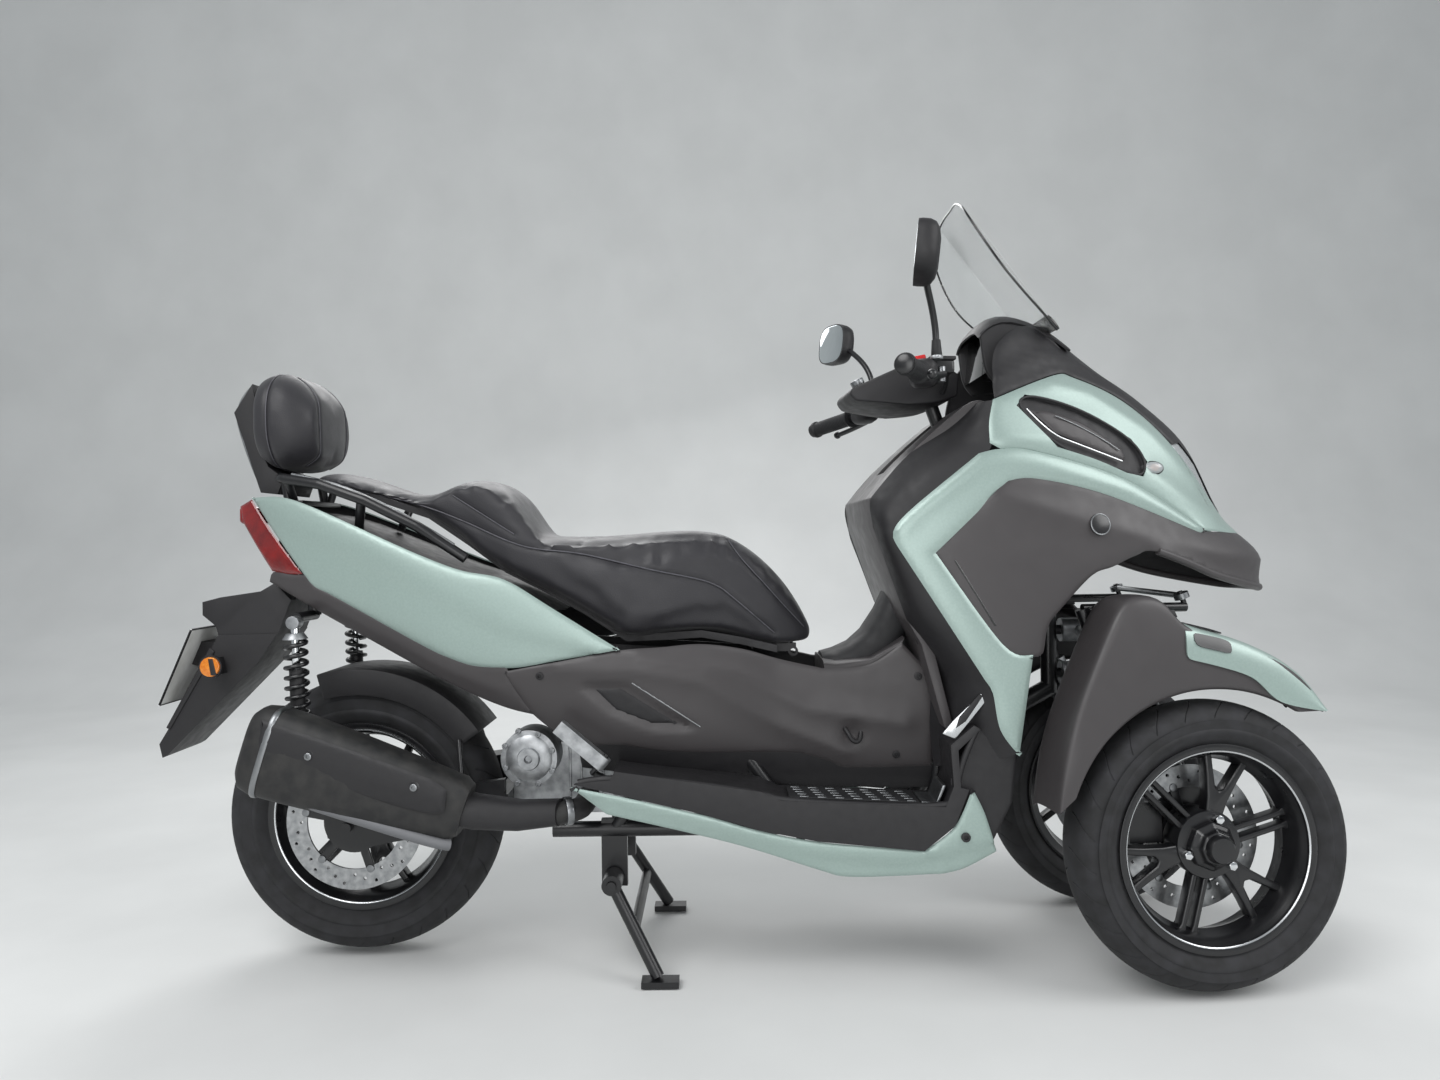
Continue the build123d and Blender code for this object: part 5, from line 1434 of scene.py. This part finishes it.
finish(hugger, "rearHugger", "chassis", "black_plastic", "rear_mudguard")
print("tail gear made")

# Windscreen, its foot and the meters' hood


screen = {"base": Vector((652, 0, 1243)), "top": Vector((458, 0, 1500)), "bend": 350}
screenUp = (screen["top"] - screen["base"]).normalized()
screenOut = Vector((screenUp.z, 0, -screenUp.x))


def screenPlace(across, rise, out=0):  # a piece of a leaning cylinder, by distance across and up
    sag = math.sqrt(screen["bend"] ** 2 - across ** 2) - screen["bend"]
    spot = screen["base"] + screenUp * rise + screenOut * (sag + out)
    return spot.x, across, spot.z


def onScreen(across, rise, out):
    x, y, z = screenPlace(across, rise, out)
    return mm(x, z, y)


screenHeight = (screen["top"] - screen["base"]).length
half = [(128, 0), (176, 90), (186, 180), (150, 280), (72, screenHeight - 4), (0, screenHeight)]
otherHalf = [(-x, z) for x, z in reversed(half[:-1])]
screenRuns = [half, otherHalf, [(128, 0)]]
sheet = panel("windscreen", screenRuns, (sideSheet, screenPlace), thickness=4, roll=1, rollWidth=5, grid=14)
tidyMesh(sheet)
dressed(smooth(sheet, 60), clearSheet)
# a thin gloss black tube round the clear sheet's edge: painted shade where the edge looks dark
edgePoints = [onScreen(across, rise, -2)
              for across, rise in openRuns([half, otherHalf], 18)]
paintedEdgeShade = dressed(tube("paintedEdgeShade", edgePoints, 0.0022, sides=3), glossBlack)
footRows = [[onScreen(across, rise, out) for across in range(-126, 127, 14)]
            for rise, out in ((-2, 3), (8, 5.5), (22, 5), (34, 2.5))]
foot = dressed(openSheet("screenFoot", footRows, 0.003, 1), glossBlack)
parts = [sheet, paintedEdgeShade, foot]
for across in (-70, 70):
    parts.append(dressed(bolt(onScreen(across, 16, 6), screenOut, 0.007), rimBlack))
finish(join("windscreen", parts), "windscreenSheet", "chassis", "clear_lens", "windscreen")

rows = []
for across in range(-96, 97, 12):
    drop = (across / 96) ** 4 * 22
    rows.append([mm(x, z - drop, across) for x, z in
                 [(490, 1236), (500, 1256), (531, 1272), (570, 1266), (610, 1250), (640, 1232), (668, 1208)]])
peak = dressed(openSheet("peak", rows, 0.004, 1), blackPlastic)
cheeks = pair("cheeks", dressed(sidePlate("cheek", [[(490, 1230), (510, 1246), (531, 1250)],
                                                    [(590, 1240), (636, 1214)], [(655, 1190)], [(600, 1140)],
                                                    [(520, 1130)], [(500, 1160), (490, 1230)]], -84, -96, 0.004,
                                          segments=3), blackPlastic))
dial = plate("dial", [mm(503, 1152, y) for y in (-86, 86)] + [mm(512, 1244, y) for y in (86, -86)],
             (0.004, 0, 0.001), 0.001)
dressed(dial, glossBlack)
knuckle = dressed(sidePlate("knuckle", corners([(540, 1160), (600, 1160), (594, 1230), (545, 1236)]), 84, -84,
                            0.006), blackPlastic)
finish(join("meterHood", [peak, cheeks, dial, knuckle]), "meterHood", "chassis", "black_plastic", "meter_hood")
print("screen and hood made")

# Seat and backrest: cushions swelled as cloth, then piped and sewn


# remeshes a cushion, rounds it, blows it up as cloth and keeps every point near its start
def swelled(piece, voxel, pressure, cap, rounds=8, frames=20):
    modify(piece, "REMESH", mode="VOXEL", voxel_size=voxel)
    modify(piece, "SMOOTH", factor=0.6, iterations=rounds)
    start = [vertex.co.copy() for vertex in piece.data.vertices]
    cloth = piece.modifiers.new("Cloth", "CLOTH")
    cloth.settings.use_pressure = True
    cloth.settings.uniform_pressure_force = pressure
    cloth.settings.effector_weights.gravity = 0
    cloth.settings.quality = 4
    cloth.settings.tension_stiffness = cloth.settings.compression_stiffness = 18
    cloth.settings.bending_stiffness = 6
    cloth.point_cache.frame_start, cloth.point_cache.frame_end = 1, frames
    for number in range(1, frames + 1):
        bpy.context.scene.frame_set(number)
    graph = bpy.context.evaluated_depsgraph_get()
    swollen = [vertex.co.copy() for vertex in piece.evaluated_get(graph).data.vertices]
    piece.modifiers.remove(cloth)
    bpy.context.scene.frame_set(1)
    for vertex, first, last in zip(piece.data.vertices, start, swollen):
        move = last - first
        vertex.co = first + (move * (cap / move.length) if move.length > cap else move)
    modify(piece, "SMOOTH", factor=0.5, iterations=9)
    return smooth(piece, 180)


# where lines cast along a direction first meet a piece
def onSkin(piece, points, direction):
    hits = []
    bpy.context.view_layer.update()
    for point in points:
        hit, place, _, _ = piece.ray_cast(Vector(point) - Vector(direction) * 0.6, Vector(direction))
        if hit:
            hits.append(place)
    return hits


# draws the skin inwards along lines, as a seam does
def sewn(piece, lines, width, depth):
    normals = [vertex.normal.copy() for vertex in piece.data.vertices]
    pulls = [0.0] * len(normals)
    for line in lines:
        for start, end in zip(line, line[1:]):
            middle, reach = (start + end) / 2, (end - start).length / 2 + width
            along = end - start
            size = along.length_squared or 1
            for number, vertex in enumerate(piece.data.vertices):
                if (vertex.co - middle).length_squared > reach * reach:
                    continue
                t = max(0, min(1, (vertex.co - start).dot(along) / size))
                away = (vertex.co - start - along * t).length
                if away < width:
                    pulls[number] = max(pulls[number], depth * (1 - away / width) ** 2)
    for vertex, normal, pull in zip(piece.data.vertices, normals, pulls):
        vertex.co = vertex.co - normal * pull
    return piece


seat = {
    "voxel": 0.0055, "pressure": 4, "cap": 0.007, "halfWidth": 0.16, "drawnIn": 0.965,
    "sideSeam": [(-790, 938), (-700, 926), (-600, 902), (-520, 872), (-403, 822), (-291, 806), (-163, 775),
                 (-47, 748), (-2, 718), (80, 645)],
    "frontPanel": [(-9, 829), (16, 793), (62, 742), (95, 704), (140, 655)],
    "bump": [(-539, 921), (-480, 884), (-419, 845)],
}
low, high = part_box("seat_cushion")
cushion = tidyMesh(copyOf(nodes["seat_cushion"], "cushion"))
cushion.data.materials.clear()
modify(cushion, "REMESH", mode="VOXEL", voxel_size=0.008)
for vertex in cushion.data.vertices:  # the top is crowned and the sides are drawn in, before it swells
    reach = abs(vertex.co.y) / seat["halfWidth"]
    vertex.co.y *= seat["drawnIn"]
    if vertex.normal.z > 0.4:
        vertex.co.z -= 0.004 + 0.02 * reach ** 3
swelled(cushion, seat["voxel"], seat["pressure"], seat["cap"], 16)
for vertex in cushion.data.vertices:  # kept within its frame's box
    vertex.co = Vector([max(l - 0.002, min(h + 0.002, c)) for l, h, c in zip(low, high, vertex.co)])
dressed(cushion, seatVinyl)
sideLines, pipes = [], []
for side in (-1, 1):
    for key, radius in (("sideSeam", 0.0015), ("frontPanel", 0.0012), ("bump", 0.0013)):
        points = openRuns([seat[key]], 24)
        hits = onSkin(cushion, [mm(x, z, 0) + Vector((0, side * 0.4, 0)) for x, z in points], (0, -side, 0))
        if len(hits) > 2:
            sideLines.append(hits)
            pipes.append((hits, radius))
for x in (-470, -250):  # a channel across the back of the rider's place, and one across its middle
    hits = onSkin(cushion, [mm(x - abs(y) * 0.35, 900, y) + Vector((0, 0, 0.3)) for y in range(-130, 131, 13)],
                  (0, 0, -1))
    if len(hits) > 4:
        sideLines.append(hits)
sewn(cushion, sideLines, 0.012, 0.0035)
modify(cushion, "SUBSURF", levels=1, render_levels=1)
smooth(cushion, 180)
made = [cushion]
for hits, radius in pipes:
    pipe = tube("piping", hits, radius, resolution=4, sides=3)
    made.append(dressed(pipe, pipingVinyl))
seatPiece = join("seatCushion", made)
finish(seatPiece, "seatCushion", "seat", "seat_cover", "seat_cushion")

backrest = {"voxel": 0.005, "pressure": 4, "cap": 0.007, "seams": [0.058, -0.058], "depth": 0.86}
low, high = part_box("backrest_pad")
pad = tidyMesh(copyOf(nodes["backrest_pad"], "pad"))
pad.data.materials.clear()
swelled(pad, backrest["voxel"], backrest["pressure"], backrest["cap"], 12)
for vertex in pad.data.vertices:  # shallower in front than its frame's solid
    vertex.co.x = low.x + (vertex.co.x - low.x) * backrest["depth"]
    vertex.co = Vector([max(l - 0.001, min(h + 0.001, c)) for l, h, c in zip(low, high, vertex.co)])
dressed(pad, seatVinyl)
lines = []
for across in backrest["seams"]:
    hits = onSkin(pad, [Vector((0, across * (1 + 0.25 * math.sin(math.pi * t / 20)), low.z + (high.z - low.z)
                                * (0.04 + 0.92 * t / 20))) for t in range(21)], (-1, 0, 0))
    lines.append(hits)
rim = []
core = Vector((mm(-900, 0).x, 0, (low.z + high.z) / 2))
bpy.context.view_layer.update()
for number in range(41):
    angle = 2 * math.pi * number / 40
    outwards = Vector((0, math.cos(angle), math.sin(angle)))
    hit, place, _, _ = pad.ray_cast(core + outwards * 0.4, -outwards)
    if hit:
        rim.append(place)
sewn(pad, lines + [rim], 0.011, 0.0035)
modify(pad, "SUBSURF", levels=1, render_levels=1)
smooth(pad, 180)
made = [pad] + [dressed(tube("piping", line, 0.0013, resolution=4, sides=3), pipingVinyl)
                for line in lines + [rim]]
padPiece = join("backrestPad", made)
finish(padPiece, "backrestPad", "chassis", "seat_cover", "backrest_pad")
print("cushions made")

# Handlebar, controls, grips and mirrors: made straight, then turned with the parked bar

barFoot = mm(400 + 1130 * math.tan(math.radians(20)), 0)
barTurn = Matrix.Translation(barFoot) @ Matrix.Rotation(parkedSteer, 4, leanAxis) @ Matrix.Translation(-barFoot)
grip = {
    "start": mm(308, 1116, -258), "end": mm(247, 1105, -375), "rings": 22,
    "housing": [(338, 186, 1124, 0.017, 0.019), (335, 192, 1123, 0.022, 0.024), (330, 214, 1122, 0.024, 0.026),
                (322, 236, 1121, 0.022, 0.0245), (318, 243, 1120, 0.017, 0.019)],
}


# switch housing, brake cylinder, lever and its ball, on one side of the bar
def controls(side):
    parts = []
    housing = loft("housing", [superRing(mm(x, z, side * y), a, b, (1, 0.45 * side, 0), (0, 0, 1), 3.2, 28)
                               for x, y, z, a, b in grip["housing"]])
    parts.append(dressed(housing, blackPlastic))
    rocker = block("rocker", mm(322, 1150, side * 214), (0.024, 0.014, 0.01),
                   Matrix.Rotation(math.radians(-12), 4, "Y"), 0.003)
    parts.append(dressed(rocker, redAbs if side < 0 else greyNylon))
    button = bar("button", mm(306, 1126, side * 216), mm(300, 1127, side * 218), 0.008, 24, bevel=0.0015)
    parts.append(dressed(button, greyNylon))
    cylinder = block("cylinder", mm(369, 1138, side * 192), (0.046, 0.036, 0.026), bevel=0.006, segments=4)
    lid = block("lid", mm(369, 1153, side * 192), (0.05, 0.04, 0.007), bevel=0.002)
    parts += [dressed(cylinder, frameBlack), dressed(lid, blackPlastic)]
    for dx in (-16, 16):
        parts.append(dressed(bolt(mm(369 + dx, 1157, side * 192), (0, 0, 1), 0.004, 0.003), zincSteel))
    lever = tube("lever", [mm(366, 1122, side * 206), mm(366, 1120, side * 226), mm(350, 1110, side * 262),
                           mm(322, 1098, side * 316), mm(302, 1092, side * 352)], 0.0062, sides=4)
    tip = ball("tip", mm(298, 1091, side * 361), 0.0088, (1, 1.1, 1))
    pivot = bar("pivot", mm(366, 1108, side * 208), mm(366, 1136, side * 208), 0.008, 20)
    parts += [dressed(lever, frameBlack), dressed(tip, frameBlack), dressed(pivot, zincSteel)]
    return parts


barParts = []
for side in (-1, 1):
    barParts.append(dressed(tube("barTube", [mm(396, 1135, 0), mm(394, 1138, side * 60), mm(392, 1138, side * 110),
                                             mm(350, 1127, side * 180), mm(312, 1117, side * 250),
                                             mm(282, 1111, side * 310), mm(247, 1105, side * 374)], 0.0108,
                                 sides=6), frameBlack))
    barParts += controls(side)
stem = bar("stem", mm(400 + (1130 - 1032) * math.tan(math.radians(20)), 1032), mm(398, 1140), 0.0138, 40)
barParts.append(dressed(stem, frameBlack))
for side in (-1, 1):  # brake hoses from the cylinders into the cover
    hose = tube("hose", [mm(380, 1142, side * 176), mm(392, 1150, side * 160), mm(404, 1140, side * 130),
                         mm(412, 1122, side * 98), mm(410, 1110, side * 80)], 0.0045, sides=4)
    barParts.append(dressed(hose, softRubber))
handle = moved(join("handlebar", barParts), barTurn)
finish(handle, "handleBar", "handlebar", "frame_black", "handlebar")

cover = {"side": [[(240, 1098), (228, 1112), (234, 1124)], [(318, 1160), (360, 1176), (392, 1180)],
                  [(452, 1152)], [(446, 1108)], [(400, 1092), (340, 1086)], [(240, 1098)]]}
bonnet = sidePlate("bonnet", cover["side"], -88, 88, 0.012, segments=5)
for vertex in bonnet.data.vertices:  # narrower in front and behind
    shape = 1 - 0.28 * abs((vertex.co.x - mm(345, 0).x) / 0.11) ** 2
    vertex.co.y *= max(0.6, min(1, shape))
seam = tube("seam", [mm(x, z + 0.4, 0) for x, z in [(242, 1124), (318, 1158), (392, 1178)]], 0.0016, sides=3)
badge = bar("keyBarrel", mm(262, 1140, 0), mm(256, 1152, 0), 0.014, 32, bevel=0.002)
top = moved(join("barCover", [dressed(bonnet, blackPlastic), dressed(badge, zincSteel),
                              dressed(seam, glossBlack)]), barTurn)
finish(top, "barCover", "handlebar", "black_plastic", "handlebar_cover")

along = (grip["end"] - grip["start"])
profile = [(0.0112, 0.0), (0.021, 0.0), (0.021, 0.004)]
length = along.length
for number in range(grip["rings"]):
    y = 0.008 + number * (length - 0.02) / grip["rings"]
    profile += [(0.0158, y), (0.0168, y + 0.0014), (0.0168, y + 0.0032), (0.0158, y + 0.0044)]
profile += [(0.019, length - 0.01), (0.0195, length - 0.004), (0.018, length), (0.0112, length)]
sleeve = lathe("sleeve", profile, 40)
weight = lathe("weight", [(0.0, length), (0.015, length), (0.0165, length + 0.0025), (0.0165, length + 0.006),
                          (0.013, length + 0.0085), (0.0, length + 0.0085)], 40)
gripPiece = join("grip", [dressed(sleeve, softRubber), dressed(weight, rimBlack)])
moved(gripPiece, Matrix.Translation(grip["start"]) @ Vector((0, 1, 0)).rotation_difference(along).to_matrix()
      .to_4x4())
tidyMesh(gripPiece, 0.000001)
gripPieces = pair("grips", gripPiece)
finish(moved(gripPieces, barTurn), "gripPair", "handlebar", "rubber", "grips")

mirror = {"centre": (302, 1303, -345), "half": (62, 48), "tilt": 0.12, "toeIn": 16}
toeIn = Matrix.Rotation(math.radians(-mirror["toeIn"]), 3, "Z")  # turned in towards the rider
face = toeIn @ Vector((-1, 0, mirror["tilt"])).normalized()
rise = toeIn @ Vector((mirror["tilt"], 0, 1)).normalized()
across = toeIn @ Vector((0, -1, 0))
centre = mm(*mirror["centre"])


def mirrorRing(depth, scale):  # slanted, so the outer end stands a little higher
    half = [scale * size / 1000 for size in mirror["half"]]
    return superRing(centre + face * depth, *half, across + rise * 0.1, rise, 3, 40)


shell = dressed(loft("shell", [mirrorRing(0.0212, 0.95), mirrorRing(0.0218, 0.985), mirrorRing(0.014, 1.0),
                               mirrorRing(0.002, 0.99), mirrorRing(-0.008, 0.92), mirrorRing(-0.015, 0.74),
                               mirrorRing(-0.0185, 0.45)]), blackPlastic)
glass = dressed(loft("glass", [mirrorRing(0.0205, 0.93), mirrorRing(0.0221, 0.93), mirrorRing(0.0224, 0.9)]),
                mirrorGlass)
arm = dressed(tube("arm", [mm(352, 1148, -225), mm(351, 1176, -226), mm(349, 1204, -230), mm(338, 1238, -246),
                           mm(318, 1272, -278), mm(306, 1290, -308), mm(304, 1298, -330)], 0.0062, sides=5),
              frameBlack)
boot = dressed(bar("boot", mm(352, 1150, -225), mm(351, 1182, -226.5), 0.0105, 28, tip=0.008), softRubber)
nut = dressed(bar("nut", mm(352, 1146, -225), mm(352, 1153, -225), 0.012, 6), zincSteel)
mirrors = pair("mirrors", join("mirror", [shell, glass, arm, boot, nut]))
finish(moved(mirrors, barTurn), "mirrorPair", "handlebar", "black_plastic", "mirrors")
print("bar and mirrors made")

low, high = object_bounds()
print("size", [round(b - a, 4) for a, b in zip(low, high)])
